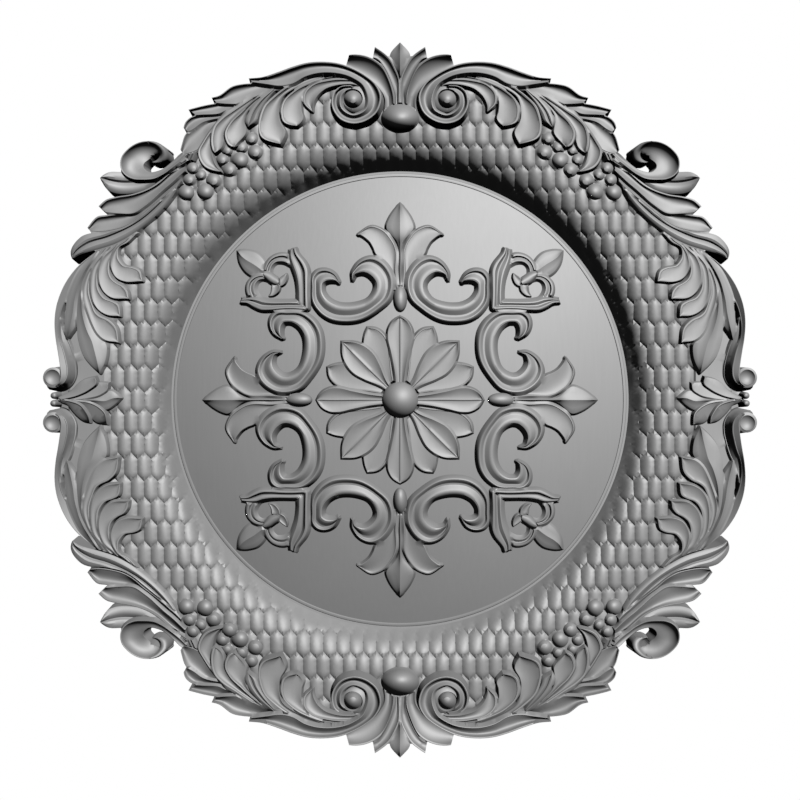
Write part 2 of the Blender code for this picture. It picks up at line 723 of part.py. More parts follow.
HEART_LEAF = Form(
    edge_a=((268, 266), (264.5, 258.5), (258, 252), (250, 249.3), (243, 248.8), (237.2, 250)),
    edge_b=((262, 280), (255, 279), (249, 276.5), (243, 271), (238.5, 262), (237.2, 250)),
    tops=(4, 4, 4, 4),
    section=KEEL,
    depth=1.2,
    over_ground=True,
)
HEART_LOOP_UPPER = Form(
    edge_a=((292, 256), (284, 251.8), (277, 252.5), (270, 256), (265, 262), (262.6, 269), (262.5, 275)),
    edge_b=(
        (291, 268), (284.5, 264.5), (281, 263.8), (277.5, 264), (274.5, 266), (272.8, 269), (272.6, 273),
    ),
    tops=(6, 6, 6, 6),
    section=MOULDED,
    depth=1.5,
    over_ground=True,
)
HEART_LOOP_LOWER = Form(
    edge_a=((252, 300), (246, 295.5), (244.5, 289), (246, 282), (251, 276.5), (257, 273.8), (265, 273)),
    edge_b=(
        (262, 298), (258.5, 293.5), (257, 289), (257.8, 284.5), (260, 281.8), (263.5, 280.6), (268, 282),
    ),
    tops=(6, 6, 6, 6),
    section=MOULDED,
    depth=1.5,
    over_ground=True,
)
HEART_ARM_RIGHT = Form(
    edge_a=(
        (297, 247.2), (298.6, 252), (302.5, 257), (306.5, 262), (309.5, 269), (309.6, 280), (309.3, 293),
        (309.5, 311),
    ),
    edge_b=(
        (289, 251), (288.5, 256), (289, 261), (290.3, 266), (292.5, 272), (295, 280), (296.4, 290),
        (296.5, 300),
    ),
    tops=(6, 7, 7, 7),
    section=MOULDED,
    depth=1.8,
    over_ground=True,
)
HEART_ARM_BOTTOM = Form(
    edge_a=(
        (239.5, 304), (246, 305), (253, 309), (260, 311.8), (270, 312), (281, 311), (294, 310.5),
        (309.5, 311),
    ),
    edge_b=(
        (243, 298.2), (250, 297), (257, 296.5), (263, 298.2), (270, 299.5), (280, 300), (288, 300),
        (296.5, 300),
    ),
    tops=(6, 7, 7, 7),
    section=MOULDED,
    depth=1.8,
    over_ground=True,
)
HEART_HORNS = Form(
    edge_a=((270, 296), (278, 291.5), (284, 286), (287.5, 280), (287, 273.5)),
    edge_b=((271.5, 289), (275, 285), (279, 281), (282.5, 277.3), (286, 273.3)),
    tops=(6, 6, 6, 6),
    section=HOLLOW,
    depth=0.5,
    over_ground=True,
)
HEART_BUD = Form(
    edge_a=((262.8, 273), (264.2, 271.3), (269, 271.6), (274.5, 275), (279, 279), (279.6, 284)),
    edge_b=((263, 274), (264, 277), (267, 281.5), (271, 284.5), (275.5, 285.4), (279.6, 284)),
    tops=(9, 9, 9, 9),
    section=ROLL,
    depth=2.0,
    over_ground=True,
)


def kept(x: float, y: float) -> tuple[float, float]:
    """The point as it is."""
    return x, y


def mirrored(right: bool, lower: bool, swapped: bool = False) -> Callable:
    """A function that moves a grid point from the upper left quarter to another place of the pattern."""

    def move(x: float, y: float) -> tuple[float, float]:
        """Grid point after the swap across the diagonal and the mirrorings."""
        if swapped:
            x, y = y, x
        return (2 * GRID_MIDDLE - x if right else x), (2 * GRID_MIDDLE - y if lower else y)

    return move


QUARTERS = tuple(mirrored(right, lower) for right in (False, True) for lower in (False, True))
SIDES = tuple(mirrored(right, False) for right in (False, True))
ENDS = tuple(mirrored(False, lower) for lower in (False, True))
CROSS = (kept, mirrored(False, True), mirrored(False, False, True), mirrored(True, False, True))
EIGHTHS = tuple(
    mirrored(right, lower, swapped)
    for swapped in (False, True)
    for right in (False, True)
    for lower in (False, True)
)

ORDER = (
    ((SIDE_PLATE, SIDE_STEM, SIDE_WRAP, SIDE_CURL), QUARTERS),
    (PALMETTE_BALLS, SIDES),
    ((PALMETTE_UPPER_OUTER, PALMETTE_LOWER_OUTER), SIDES),
    ((PALMETTE_UPPER_INNER, PALMETTE_LOWER_INNER, PALMETTE_CENTRE), SIDES),
    ((SIDE_LEAF_6, SIDE_LEAF_5, SIDE_LEAF_4, SIDE_LEAF_3, SIDE_LEAF_2, SIDE_LEAF_1), QUARTERS),
    ((SCROLL_LEAF_4, SCROLL_LEAF_3, SCROLL_LEAF_2, SCROLL_LEAF_1, SCROLL, SCROLL_BULB), QUARTERS),
    (
        tuple(Ball((x, y), r, r, BERRY_BASE, BERRY_BASE + r * BERRY_RISE, True) for x, y, r in BERRIES),
        QUARTERS,
    ),
    ((TOP_CENTRE,), ENDS),
    ((TOP_OUTER, TOP_INNER), QUARTERS),
    ((LEAF_E, LEAF_D, LEAF_C, LEAF_B, LEAF_A, LEAF_F), QUARTERS),
    ((LEAF_G, LEAF_H, LEAF_I, LEAF_J, LEAF_K, LEAF_L), QUARTERS),
    ((VOLUTE, VOLUTE_EYE), QUARTERS),
    ((TOP_BALL,), ENDS),
    ((BACK_PETAL,), EIGHTHS),
    ((DIAGONAL_PETAL,), QUARTERS),
    ((AXIS_PETAL,), CROSS),
    ((FLOWER_BALL,), (kept,)),
    ((PALMETTE_TALL,), CROSS),
    ((PALMETTE_SIDE, C_SCROLL), EIGHTHS),
    ((TEARDROP,), CROSS),
    ((HEART_LEAF, HEART_LOOP_UPPER, HEART_LOOP_LOWER, HEART_ARM_BOTTOM, HEART_ARM_RIGHT), QUARTERS),
    ((HEART_HORNS, HEART_BUD), QUARTERS),
)


class Relief:
    """All sheets in order over the ground, and the points and lines of the skin that shows of them."""

    BIN = 12.0  # mm, width of a square in the list of sheets by place

    def __init__(self, sheets: list[Sheet]) -> None:
        """Sorts the sheets by place."""
        self.sheets = sheets
        self.bins: dict = {}
        for index, sheet in enumerate(sheets):
            low = np.floor(sheet.low / self.BIN).astype(int)
            high = np.floor(sheet.high / self.BIN).astype(int)
            for i in range(low[0], high[0] + 1):
                for j in range(low[1], high[1] + 1):
                    self.bins.setdefault((i, j), []).append(index)
        self.points: list = []
        self.edges: list = []
        self.ground_from = 0

    def near(self, x: float, z: float) -> list[int]:
        """Numbers of the sheets that may reach this place, from back to front."""
        return self.bins.get((math.floor(x / self.BIN), math.floor(z / self.BIN)), [])

    def surface(self, x: float, z: float, below: int) -> tuple[float, tuple]:
        """Height of the skin made by the sheets before this one, and a label of what makes it there."""
        for index in reversed(self.near(x, z)):
            if index >= below:
                continue
            found = self.sheets[index].reach(x, z)
            if found is None:
                continue
            height, gap = found
            if gap < TOUCH:
                return height, (index, True)
            under, _ = self.surface(x, z, index)
            return height + (under - height) * gap / DRAFT, (index, False)
        if on_ground(x, z):
            return ground_height(x, z), (-1, True)
        return 0.0, (-2, False)

    def shows(self, x: float, z: float, index: int) -> bool:
        """Whether no later sheet or its side covers this place."""
        return all(k <= index or self.sheets[k].reach(x, z) is None for k in self.near(x, z))

    def border(self, seen: tuple, hidden: tuple, index: int) -> tuple:
        """The last point that shows on the way from a seen point to a hidden one."""
        low, high = 0.0, 1.0
        for _ in range(BORDER_HALVINGS):
            middle = (low + high) / 2
            place = [a + (b - a) * middle for a, b in zip(seen, hidden)]
            if self.shows(place[0], place[1], index):
                low = middle
            else:
                high = middle
        return tuple(a + (b - a) * low for a, b in zip(seen, hidden))

    def add_point(self, x: float, z: float, height: float) -> int:
        """Adds a point of the skin and gives its number."""
        self.points.append((x, z, height))
        return len(self.points) - 1

    def add_line(self, line: list, index: int) -> None:
        """Adds what shows of a line of points (x, z, height) as edges of the skin."""
        last, last_point, last_seen = None, None, False
        for point in line:
            seen = self.shows(point[0], point[1], index)
            number = self.add_point(*point) if seen else None
            if last_point is not None:
                if seen and last_seen:
                    self.edges.append((last, number))
                elif seen or last_seen:
                    inner, outer = (point, last_point) if seen else (last_point, point)
                    end = self.add_point(*self.border(inner, outer, index))
                    self.edges.append((number if seen else last, end))
            last, last_point, last_seen = number, point, seen

    def foot_line(self, sheet: Sheet, index: int) -> list:
        """Foot of a sheet's side as a closed line of points (x, z, height of what is beneath)."""
        ring = sheet.points[sheet.outline]
        area = sum(a[0] * b[1] - b[0] * a[1] for a, b in zip(ring, np.roll(ring, -1, axis=0)))
        if area < 0:
            ring = ring[::-1]
        places = []
        count = len(ring)
        for k in range(count):
            into = ring[k][:2] - ring[k - 1][:2]
            away = ring[(k + 1) % count][:2] - ring[k][:2]
            into = into / (np.linalg.norm(into) + 1e-12)
            away = away / (np.linalg.norm(away) + 1e-12)
            bend = into[0] * away[1] - into[1] * away[0]
            turn = into[0] * away[0] + into[1] * away[1]
            middle = into + away
            if turn < SHARP_TURN or np.linalg.norm(middle) < LEAST_MITRE:
                places.append(ring[k][:2] + DRAFT * np.array([into[1], -into[0]]))
                if bend > 0:
                    forward = into - away
                    places.append(ring[k][:2] + DRAFT * forward / (np.linalg.norm(forward) + 1e-12))
                places.append(ring[k][:2] + DRAFT * np.array([away[1], -away[0]]))
                continue
            middle = middle / np.linalg.norm(middle)
            stretch = min(WIDEST_MITRE, 1.0 / max(0.5, math.sqrt((1 + turn) / 2)))
            places.append(ring[k][:2] + DRAFT * stretch * np.array([middle[1], -middle[0]]))
        free = []
        for place in places:
            found = sheet.reach(place[0], place[1])
            if found is None or found[1] > FOOT_CLEAR * DRAFT:
                free.append(place)
        if len(free) < 3:
            return []
        run = []
        for start, end in zip(free, free[1:] + free[:1]):
            run += self.steps_between(start, end, index)
        run.append(run[0])
        return run

    def steps_between(self, start: np.ndarray, end: np.ndarray, index: int) -> list:
        """The start point and every point before the end at which another form begins underneath."""
        height, label = self.surface(start[0], start[1], index)
        out = [(start[0], start[1], height)]
        pieces = max(1, int(np.linalg.norm(end - start) / (STRIDE * DRAFT)))
        for k in range(1, pieces + 1):
            place = start + (end - start) * k / pieces
            _, here = self.surface(place[0], place[1], index)
            if here == label:
                continue
            low, high = (k - 1) / pieces, k / pieces
            for _ in range(CROSSING_HALVINGS):
                middle = (low + high) / 2
                trial = start + (end - start) * middle
                if self.surface(trial[0], trial[1], index)[1] == label:
                    low = middle
                else:
                    high = middle
            crossing = start + (end - start) * low
            if min(np.linalg.norm(crossing - start), np.linalg.norm(crossing - end)) > CROSSING_GAP:
                out.append((crossing[0], crossing[1], self.surface(crossing[0], crossing[1], index)[0]))
            label = here
        return out

    def add_sheets(self) -> None:
        """Adds the outline, the foot and the inner lines of every sheet where they show."""
        for index, sheet in enumerate(self.sheets):
            ring = [tuple(sheet.points[i]) for i in sheet.outline]
            self.add_line(ring + ring[:1], index)
            self.add_line(self.foot_line(sheet, index), index)
            for line in sheet.lines:
                self.add_line([tuple(sheet.points[i]) for i in line], index)
            used = set(sheet.outline) | {i for line in sheet.lines for i in line}
            for number, point in enumerate(sheet.points):
                if number not in used and self.shows(point[0], point[1], index):
                    self.add_point(*point)

    def add_ground(self) -> None:
        """Adds the disc, its bead, the ring and the scales."""
        self.ground_from = len(self.points)
        bead = ((DISC_RADIUS + side * BEAD_HALF_WIDTH, RIM_POINTS) for side in (1, 0, -1))
        for radius, count in (*bead, *DOME_RINGS):
            line = []
            for k in range(count + 1):
                turn = 2 * math.pi * k / count
                x, z = radius * math.cos(turn), radius * math.sin(turn)
                line.append((x, z, ground_height(x, z)))
            self.add_line(line, -1)
        for radius, count in OUTER_RINGS:
            for k in range(count):
                turn = 2 * math.pi * (k + 0.5) / count
                x, z = radius * math.cos(turn), radius * math.sin(turn)
                if self.shows(x, z, -1):
                    self.add_point(x, z, ground_height(x, z))
        outer_rows = int(CELLS_TO / GRID_STEP / CELL_ROW) + 1
        outer_columns = int(CELLS_TO / GRID_STEP / CELL_PITCH) + 2
        known: dict = {}
        for row in range(-outer_rows, outer_rows + 1):
            for column in range(-outer_columns, outer_columns + 1):
                middle_x = GRID_MIDDLE + ROW_PHASES[row % 2] + column * CELL_PITCH
                middle_y = GRID_MIDDLE - row * CELL_ROW
                self.add_cell(middle_x, middle_y, known)

    def add_cell(self, middle_x: float, middle_y: float, known: dict) -> None:
        """Adds one scale: its raised middle and the sunk line around it, if it lies on the ring."""
        x, z, height = placed_over_ground(middle_x, middle_y, 0.0)
        radius = math.hypot(x, z)
        if not CELLS_FROM < radius < CELLS_TO:
            return
        half = CELL_PITCH / 2
        corners = (
            (0.0, -CELL_TIP), (half, -CELL_SHOULDER), (half, CELL_SHOULDER),
            (0.0, CELL_TIP), (-half, CELL_SHOULDER), (-half, -CELL_SHOULDER),
        )
        numbers = []
        for dx, dy in corners:
            key = (round((middle_x + dx) / 2), round((middle_y + dy) / 2))
            for near in ((0, 0), (1, 0), (-1, 0), (0, 1), (0, -1), (1, 1), (-1, -1), (1, -1), (-1, 1)):
                known_number = known.get((key[0] + near[0], key[1] + near[1]))
                if known_number is not None:
                    break
            if known_number is None:
                cx, cz, top = placed_over_ground(middle_x + dx, middle_y + dy, 0.0)
                if self.shows(cx, cz, -1) and math.hypot(cx, cz) > SLOPE_START + CELL_CLEARANCE:
                    known_number = self.add_point(cx, cz, top)
                    known[key] = known_number
            numbers.append(known_number)
        for a, b in zip(numbers, numbers[1:] + numbers[:1]):
            if a is not None and b is not None:
                self.edges.append((a, b))
        inner = min(1.0, (radius - CELLS_FROM) / (CELLS_FULL_FROM - CELLS_FROM))
        outer = min(1.0, (CELLS_TO - radius) / (CELLS_TO - CELLS_FULL_TO))
        if self.shows(x, z, -1):
            crest = self.add_point(x, z, height + CELL_RISE * min(inner, outer))
            self.edges += [(crest, tip) for tip in (numbers[0], numbers[3]) if tip is not None]

    def skin(self) -> tuple[list, list, list]:
        """Points and triangles of the front, and the numbers of its points on the ground."""
        flat = [Vector(point[:2]) for point in self.points]
        found, _, faces, sources, _, _ = delaunay_2d_cdt(flat, self.edges, [], 0, MERGE)
        points, ground = [], []
        for number, (place, source) in enumerate(zip(found, sources)):
            if source:
                height = max(self.points[i][2] for i in source)
                if min(source) >= self.ground_from:
                    ground.append(number)
            else:
                height = self.surface(place[0], place[1], len(self.sheets))[0]
            points.append((place[0], place[1], height))
        faces = [face for face in faces if max(points[i][2] for i in face) > FLAT]
        return points, [tuple(face) for face in faces], ground


def lifted_folds(points: list, faces: list) -> tuple[list, list]:
    """The same skin with each inner edge that lies in the plane of the back split and lifted off it."""
    sides = {}
    for number, face in enumerate(faces):
        for a, b in zip(face, face[1:] + face[:1]):
            sides[(a, b)] = number
    points, faces = list(points), list(faces)
    for (a, b), number in sides.items():
        other = sides.get((b, a))
        if a > b or other is None or max(points[a][2], points[b][2]) > FLAT:
            continue
        middle = len(points)
        points.append(((points[a][0] + points[b][0]) / 2, (points[a][1] + points[b][1]) / 2, FOLD_LIFT))
        for start, end, owner in ((a, b, number), (b, a, other)):
            tip = next(i for i in faces[owner] if i not in (start, end))
            faces[owner] = (start, middle, tip)
            faces.append((middle, end, tip))
    return points, faces


def closed_body(points: list, faces: list) -> tuple[list, list]:
    """Front skin closed by sides where it ends above the back, and by a flat back."""
    points, faces = lifted_folds(points, faces)
    counts: dict = {}
    for face in faces:
        for a, b in zip(face, face[1:] + face[:1]):
            counts[(a, b)] = counts.get((a, b), 0) + 1
    border = [(a, b) for a, b in counts if (b, a) not in counts]
    floor = {}
    for edge in border:
        for number in edge:
            if number in floor:
                continue
            x, z, height = points[number]
            if height <= FLAT:
                points[number] = (x, z, 0.0)
                floor[number] = number
            else:
                floor[number] = len(points)
                points.append((x, z, 0.0))
    for a, b in border:
        corners = []
        for number in (b, a, floor[a], floor[b]):
            if number not in corners:
                corners.append(number)
        if len(corners) == 4:
            faces += [(corners[0], corners[1], corners[2]), (corners[0], corners[2], corners[3])]
        elif len(corners) == 3:
            faces.append(tuple(corners))
    rim = sorted(set(floor.values()))
    place_of = {number: k for k, number in enumerate(rim)}
    edges = [(place_of[floor[a]], place_of[floor[b]]) for a, b in border]
    flat = [Vector(points[number][:2]) for number in rim]
    _, _, back, sources, _, _ = delaunay_2d_cdt(flat, edges, [], 1, 1e-6)
    ends = np.array([[points[floor[a]][:2], points[floor[b]][:2]] for a, b in border])
    for face in back:
        numbers = [rim[sources[i][0]] for i in face]
        middle = np.mean([points[number][:2] for number in numbers], axis=0)
        if inside(middle, ends):
            faces.append((numbers[0], numbers[2], numbers[1]))
    return points, faces


def inside(place: np.ndarray, ends: np.ndarray) -> bool:
    """Whether a place lies within closed lines given as pairs of ends."""
    start, end = ends[:, 0], ends[:, 1]
    spans = (start[:, 1] > place[1]) != (end[:, 1] > place[1])
    start, end = start[spans], end[spans]
    cross = start[:, 0] + (place[1] - start[:, 1]) * (end[:, 0] - start[:, 0]) / (end[:, 1] - start[:, 1])
    return bool((cross > place[0]).sum() % 2)


def wood() -> bpy.types.Material:
    """Carved wood under a grey satin primer."""
    material = bpy.data.materials.new("grey_primed_wood")
    material.use_nodes = True
    shader = material.node_tree.nodes["Principled BSDF"]
    shader.inputs["Base Color"].default_value = GREY
    shader.inputs["Roughness"].default_value = SATIN_ROUGHNESS
    shader.inputs["Metallic"].default_value = 0.0
    return material


def main() -> None:
    """Clears the scene and makes the rosette."""
    for obj in list(bpy.data.objects):
        bpy.data.objects.remove(obj)
    sheets = []
    for forms, places in ORDER:
        for move in places:
            for form in forms:
                sheets.append(ball_sheet(form, move) if isinstance(form, Ball) else form_sheet(form, move))
    relief = Relief(sheets)
    relief.add_sheets()
    relief.add_ground()
    points, faces, ground = relief.skin()
    points, faces = closed_body(points, faces)
    mesh = bpy.data.meshes.new("rosette")
    mesh.from_pydata([(x / 1000, -height / 1000, z / 1000) for x, z, height in points], [], faces)
    mesh.materials.append(wood())
    rosette = bpy.data.objects.new("rosette", mesh)
    bpy.context.scene.collection.objects.link(rosette)
    mesh.shade_smooth()
    mesh.set_sharp_from_angle(angle=math.radians(SHARP_ANGLE))
    free = rosette.vertex_groups.new(name="free")
    kept_whole = set(ground)
    free.add([number for number in range(len(points)) if number not in kept_whole], 1.0, "REPLACE")
    thinned = rosette.modifiers.new("thinned", "DECIMATE")
    thinned.ratio = TRIANGLES / len(faces)
    thinned.vertex_group = free.name
    thinned.use_collapse_triangulate = True


main()
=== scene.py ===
"""Looks of a carved wooden rosette: its fine carving, the grey satin primer, the studio and the camera.

The carving is a relief with a flat back. Each carved form is a sheet of points between two edges. The
sheets are laid over one another from back to front, and one closed skin is made of what shows of them.
Plan: x to the right, z up, the back in the plane y = 0 and the carving towards -y.

The edges are given on a drawing grid: x to the right, y down, the middle of the rosette at (400, 400).
The drawing is a view from a near eye, so a point's place depends on how high it stands off the back.
Lengths on the grid are grid units, heights are mm off the back or over the ground.
"""
import logging
import math
from collections import Counter
from dataclasses import dataclass
from enum import Enum
from typing import Any, Optional, Union

import bpy
import numpy as np
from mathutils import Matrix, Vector
from mathutils.bvhtree import BVHTree
from mathutils.geometry import barycentric_transform, delaunay_2d_cdt


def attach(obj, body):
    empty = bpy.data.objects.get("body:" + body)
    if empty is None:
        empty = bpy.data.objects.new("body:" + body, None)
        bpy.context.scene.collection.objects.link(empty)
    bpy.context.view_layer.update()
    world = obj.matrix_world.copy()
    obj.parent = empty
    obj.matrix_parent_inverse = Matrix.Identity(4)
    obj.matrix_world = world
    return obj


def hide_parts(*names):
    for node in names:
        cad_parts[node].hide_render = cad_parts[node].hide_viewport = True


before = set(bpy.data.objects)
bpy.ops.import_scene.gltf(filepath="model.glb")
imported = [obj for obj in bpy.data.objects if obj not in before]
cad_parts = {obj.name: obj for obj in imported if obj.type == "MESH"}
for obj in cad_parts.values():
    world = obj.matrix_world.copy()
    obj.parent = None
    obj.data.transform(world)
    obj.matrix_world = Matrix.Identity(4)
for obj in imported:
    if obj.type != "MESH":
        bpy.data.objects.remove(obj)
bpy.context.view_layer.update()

log = logging.getLogger("rosette")


@dataclass(frozen=True)
class Drawing:
    """The drawing grid that all edges are given on.

    Args:
        middle: grid x and grid y of the rosette's middle.
        step: mm per grid unit in the plane of the back.
        eye: mm from that plane to the eye.
    """

    middle: float = 400.0
    step: float = 0.8546
    eye: float = 1200.0

    def placed(self, grid: np.ndarray, heights: np.ndarray) -> np.ndarray:
        """Places grid points that stand at these heights.

        Args:
            grid: grid points, last axis x and y.
            heights: mm off the back.

        Returns:
            Points x, z, height in mm.
        """
        step = self.step * (1.0 - heights / self.eye)
        x = (grid[..., 0] - self.middle) * step
        z = (self.middle - grid[..., 1]) * step
        return np.stack([x, z, heights], axis=-1)


@dataclass(frozen=True)
class Ground:
    """The domed disc with its bead and the ring around it, in mm, without scales.

    Args:
        disc_radius: middle of the bead around the disc.
        disc_edge: height of the disc at its edge.
        disc_rise: height of its middle over its edge.
        bead_half_width: half the width of the bead.
        bead_height: height of the bead.
        slope_start: radius at which the ring begins.
        arc_start: radius at which its straight slope becomes an arc.
        slope_tan: steepness of the slope.
        arc_radius: radius of the arc in the section.
        crest_radius: radius of the ring's highest line.
        crest_fall: steepness outside of that line.
        outer_bend: radius from which it falls more steeply.
        outer_fall: what that adds to the steepness.
        edge_radius: where the round ground ends.
        side_half_width: reach of the ground to the left and right.
        side_half_height: how far above and below the middle it has that reach.
        rounds: times that a point's height and place are worked out in turn.
    """

    disc_radius: float = 190.7
    disc_edge: float = 8.0
    disc_rise: float = 30.0
    bead_half_width: float = 1.5
    bead_height: float = 1.1
    slope_start: float = 194.0
    arc_start: float = 201.1
    slope_tan: float = 1.5
    arc_radius: float = 29.93
    crest_radius: float = 226.0
    crest_fall: float = 0.04
    outer_bend: float = 262.0
    outer_fall: float = 0.22
    edge_radius: float = 267.0
    side_half_width: float = 284.0
    side_half_height: float = 92.0
    rounds: int = 4

    def disc(self, radius: np.ndarray) -> np.ndarray:
        """Height of the disc and its bead at this distance from the middle."""
        dome = self.disc_edge + self.disc_rise * np.maximum(0.0, 1.0 - (radius / self.disc_radius) ** 2)
        across = (radius - self.disc_radius) / self.bead_half_width
        return dome + self.bead_height * np.sqrt(np.maximum(0.0, 1.0 - across * across))

    def ring(self, radius: np.ndarray) -> np.ndarray:
        """Height of the ring at this distance from the middle: a slope, an arc and a gentle fall."""
        top = self.disc_edge + (self.arc_start - self.slope_start) * self.slope_tan
        slope = self.disc_edge + np.maximum(0.0, radius - self.slope_start) * self.slope_tan
        foot = math.sqrt(self.arc_radius**2 - (self.crest_radius - self.arc_start) ** 2)
        reach = np.clip(self.crest_radius - radius, 0.0, self.arc_radius)
        arc = top - foot + np.sqrt(self.arc_radius**2 - reach**2)
        fall = np.maximum(0.0, radius - self.crest_radius) * self.crest_fall
        fall = fall + np.maximum(0.0, radius - self.outer_bend) * self.outer_fall
        return np.where(radius < self.arc_start, slope, arc - fall)

    def height(self, x: np.ndarray, z: np.ndarray) -> np.ndarray:
        """Height of the ground at a place in the plan."""
        radius = np.hypot(x, z)
        return np.where(radius < self.slope_start, self.disc(radius), self.ring(radius))

    def reaches(self, x: float, z: float) -> bool:
        """Whether the ground reaches this place in the plan."""
        inside = math.hypot(x, z) < self.edge_radius
        return inside or (abs(x) < self.side_half_width and abs(z) < self.side_half_height)


DRAWING = Drawing()
GROUND = Ground()
# Lengths below this count as none
TINY = 1e-6
# Added to a length before something is divided by it
GUARD = 1e-12


def placed_over_ground(grid: np.ndarray, offsets: np.ndarray) -> np.ndarray:
    """Places grid points that stand this high over the ground.

    Args:
        grid: grid points, last axis x and y.
        offsets: mm over the ground.

    Returns:
        Points x, z, height in mm.
    """
    points = DRAWING.placed(grid, offsets)
    for _ in range(GROUND.rounds):
        heights = GROUND.height(points[..., 0], points[..., 1]) + offsets
        points = DRAWING.placed(grid, heights)
    return points


class Cut(Enum):
    """Cross sections, as points (share of the width from edge a to edge b, share of the form's depth)."""

    HOLLOW = ((0.0, 0.0), (0.12, -0.42), (0.27, -0.8), (0.5, -1.0), (0.73, -0.8), (0.88, -0.42), (1.0, 0.0))
    KEEL = ((0.0, 0.0), (0.2, 0.28), (0.38, 0.64), (0.5, 1.0), (0.62, 0.64), (0.8, 0.28), (1.0, 0.0))
    GROOVE = (
        (0.0, 0.0), (0.1, 0.38), (0.25, 0.6), (0.38, 0.3), (0.47, -0.45), (0.5, -0.6),
        (0.53, -0.45), (0.62, 0.3), (0.75, 0.6), (0.9, 0.38), (1.0, 0.0),
    )
    RIBBED = (
        (0.0, 0.0), (0.1, -0.45), (0.22, -0.82), (0.36, -1.0), (0.45, -0.92), (0.5, -0.5),
        (0.55, -0.92), (0.64, -1.0), (0.78, -0.82), (0.9, -0.45), (1.0, 0.0),
    )
    ROLL = (
        (0.0, -1.0), (0.07, -0.55), (0.2, -0.18), (0.35, -0.04), (0.5, 0.0),
        (0.65, -0.04), (0.8, -0.18), (0.93, -0.55), (1.0, -1.0),
    )
    SCOOP = (
        (0.0, 0.0), (0.04, -0.24), (0.1, -0.54), (0.18, -0.82), (0.28, -0.97), (0.38, -1.0),
        (0.5, -0.93), (0.66, -0.68), (0.82, -0.36), (0.93, -0.13), (1.0, 0.0),
    )
    PLAIN = ((0.0, 0.0), (0.5, 0.0), (1.0, 0.0))
    RIMMED = (
        (0.0, -0.3), (0.05, -0.05), (0.12, 0.0), (0.22, -0.02), (0.27, -0.3), (0.33, -0.7), (0.41, -0.95),
        (0.5, -1.0), (0.62, -0.82), (0.74, -0.66), (0.84, -0.68), (0.93, -0.92), (1.0, -1.3),
    )
    MOULDED = (
        (0.0, -0.3), (0.03, -0.08), (0.07, 0.0), (0.12, -0.05), (0.19, -0.36), (0.28, -0.62),
        (0.38, -0.64), (0.46, -0.5), (0.54, -0.28), (0.62, -0.06), (0.7, 0.06),
        (0.8, 0.12), (0.9, 0.0), (0.96, -0.3), (1.0, -0.6),
    )


@dataclass(frozen=True)
class Form:
    """A carved form between two edges that run from its root to its tip.

    Args:
        edge_a: grid points of the outer or upper edge.
        edge_b: grid points of the other edge.
        tops: height in mm at the root on edge a and b, then at the tip on edge a and b.
        section: cross section.
        depth: depth in mm of the cross section.
        over_ground: whether the heights count from the disc or ring under the form.
        swell: extra height in mm half way along.
        lip_a: width in grid units of the thin lip along edge a.
        lip_b: width in grid units of the thin lip along edge b.
        step: mm from the lip down to the cut beside it.
        full_width: grid units of width from which its section has the whole depth.
        inset: grid units that its top lies within edge a, edge b and the tip.
        draft: mm that its side runs out from top to foot.
    """

    edge_a: tuple
    edge_b: tuple
    tops: tuple[float, float, float, float]
    section: Cut = Cut.HOLLOW
    depth: float = 2.0
    over_ground: bool = False
    swell: float = 0.0
    lip_a: float = 0.0
    lip_b: float = 0.0
    step: float = 0.6
    full_width: float = 9.0
    inset: tuple[float, float, float] = (1.6, 1.6, 1.6)
    draft: float = 2.0


@dataclass(frozen=True)
class Ball:
    """A rounded form with an oval outline.

    Args:
        middle: grid point.
        half_width: grid units across.
        half_height: grid units up and down.
        base: height in mm of its outline.
        apex: height in mm of its middle.
        over_ground: whether the heights count from the ground under it.
        draft: mm that its side runs out from outline to foot.
    """

    middle: tuple[float, float]
    half_width: float
    half_height: float
    base: float
    apex: float
    over_ground: bool = False
    draft: float = 0.8


class Spread(Enum):
    """Where a form of the upper left quarter stands again: (to the right, below, across the diagonal)."""

    ONCE = ((0, 0, 0),)
    SIDES = ((0, 0, 0), (1, 0, 0))
    ENDS = ((0, 0, 0), (0, 1, 0))
    CROSS = ((0, 0, 0), (0, 1, 0), (0, 0, 1), (1, 0, 1))
    QUARTERS = ((0, 0, 0), (0, 1, 0), (1, 0, 0), (1, 1, 0))
    EIGHTHS = ((0, 0, 0), (0, 1, 0), (1, 0, 0), (1, 1, 0), (0, 0, 1), (0, 1, 1), (1, 0, 1), (1, 1, 1))


@dataclass(frozen=True)
class Layer:
    """Forms that lie at one rank of the carving, from the back (0) to the front."""

    rank: int
    spread: Spread
    forms: tuple[Union[Form, Ball], ...]


def spread_to(grid: np.ndarray, place: tuple[int, int, int]) -> np.ndarray:
    """Grid points of the upper left quarter moved to another place of the pattern.

    Args:
        grid: grid points, last axis x and y.
        place: whether they go to the right, below, and across the diagonal.

    Returns:
        The moved grid points.
    """
    right, lower, swapped = place
    out = np.array(grid[..., ::-1] if swapped else grid, float)
    if right:
        out[..., 0] = 2 * DRAWING.middle - out[..., 0]
    if lower:
        out[..., 1] = 2 * DRAWING.middle - out[..., 1]
    return out


def curve(points: np.ndarray, share: np.ndarray, along: np.ndarray) -> np.ndarray:
    """Smooth curve through points.

    Args:
        points: the points, in order.
        share: shares of the length at which the curve is read.
        along: share of the length at each point.

    Returns:
        The curve's points.
    """
    if len(points) == 2:
        return points[0] + (points[1] - points[0]) * share[:, None]
    slopes = np.gradient(points, along, axis=0)
    i = np.clip(np.searchsorted(along, share) - 1, 0, len(points) - 2)
    step = (along[i + 1] - along[i])[:, None]
    t = (share - along[i])[:, None] / step
    near = points[i] * (2 * t**3 - 3 * t**2 + 1) + slopes[i] * step * (t**3 - 2 * t**2 + t)
    far = points[i + 1] * (3 * t**2 - 2 * t**3) + slopes[i + 1] * step * (t**3 - t**2)
    return near + far


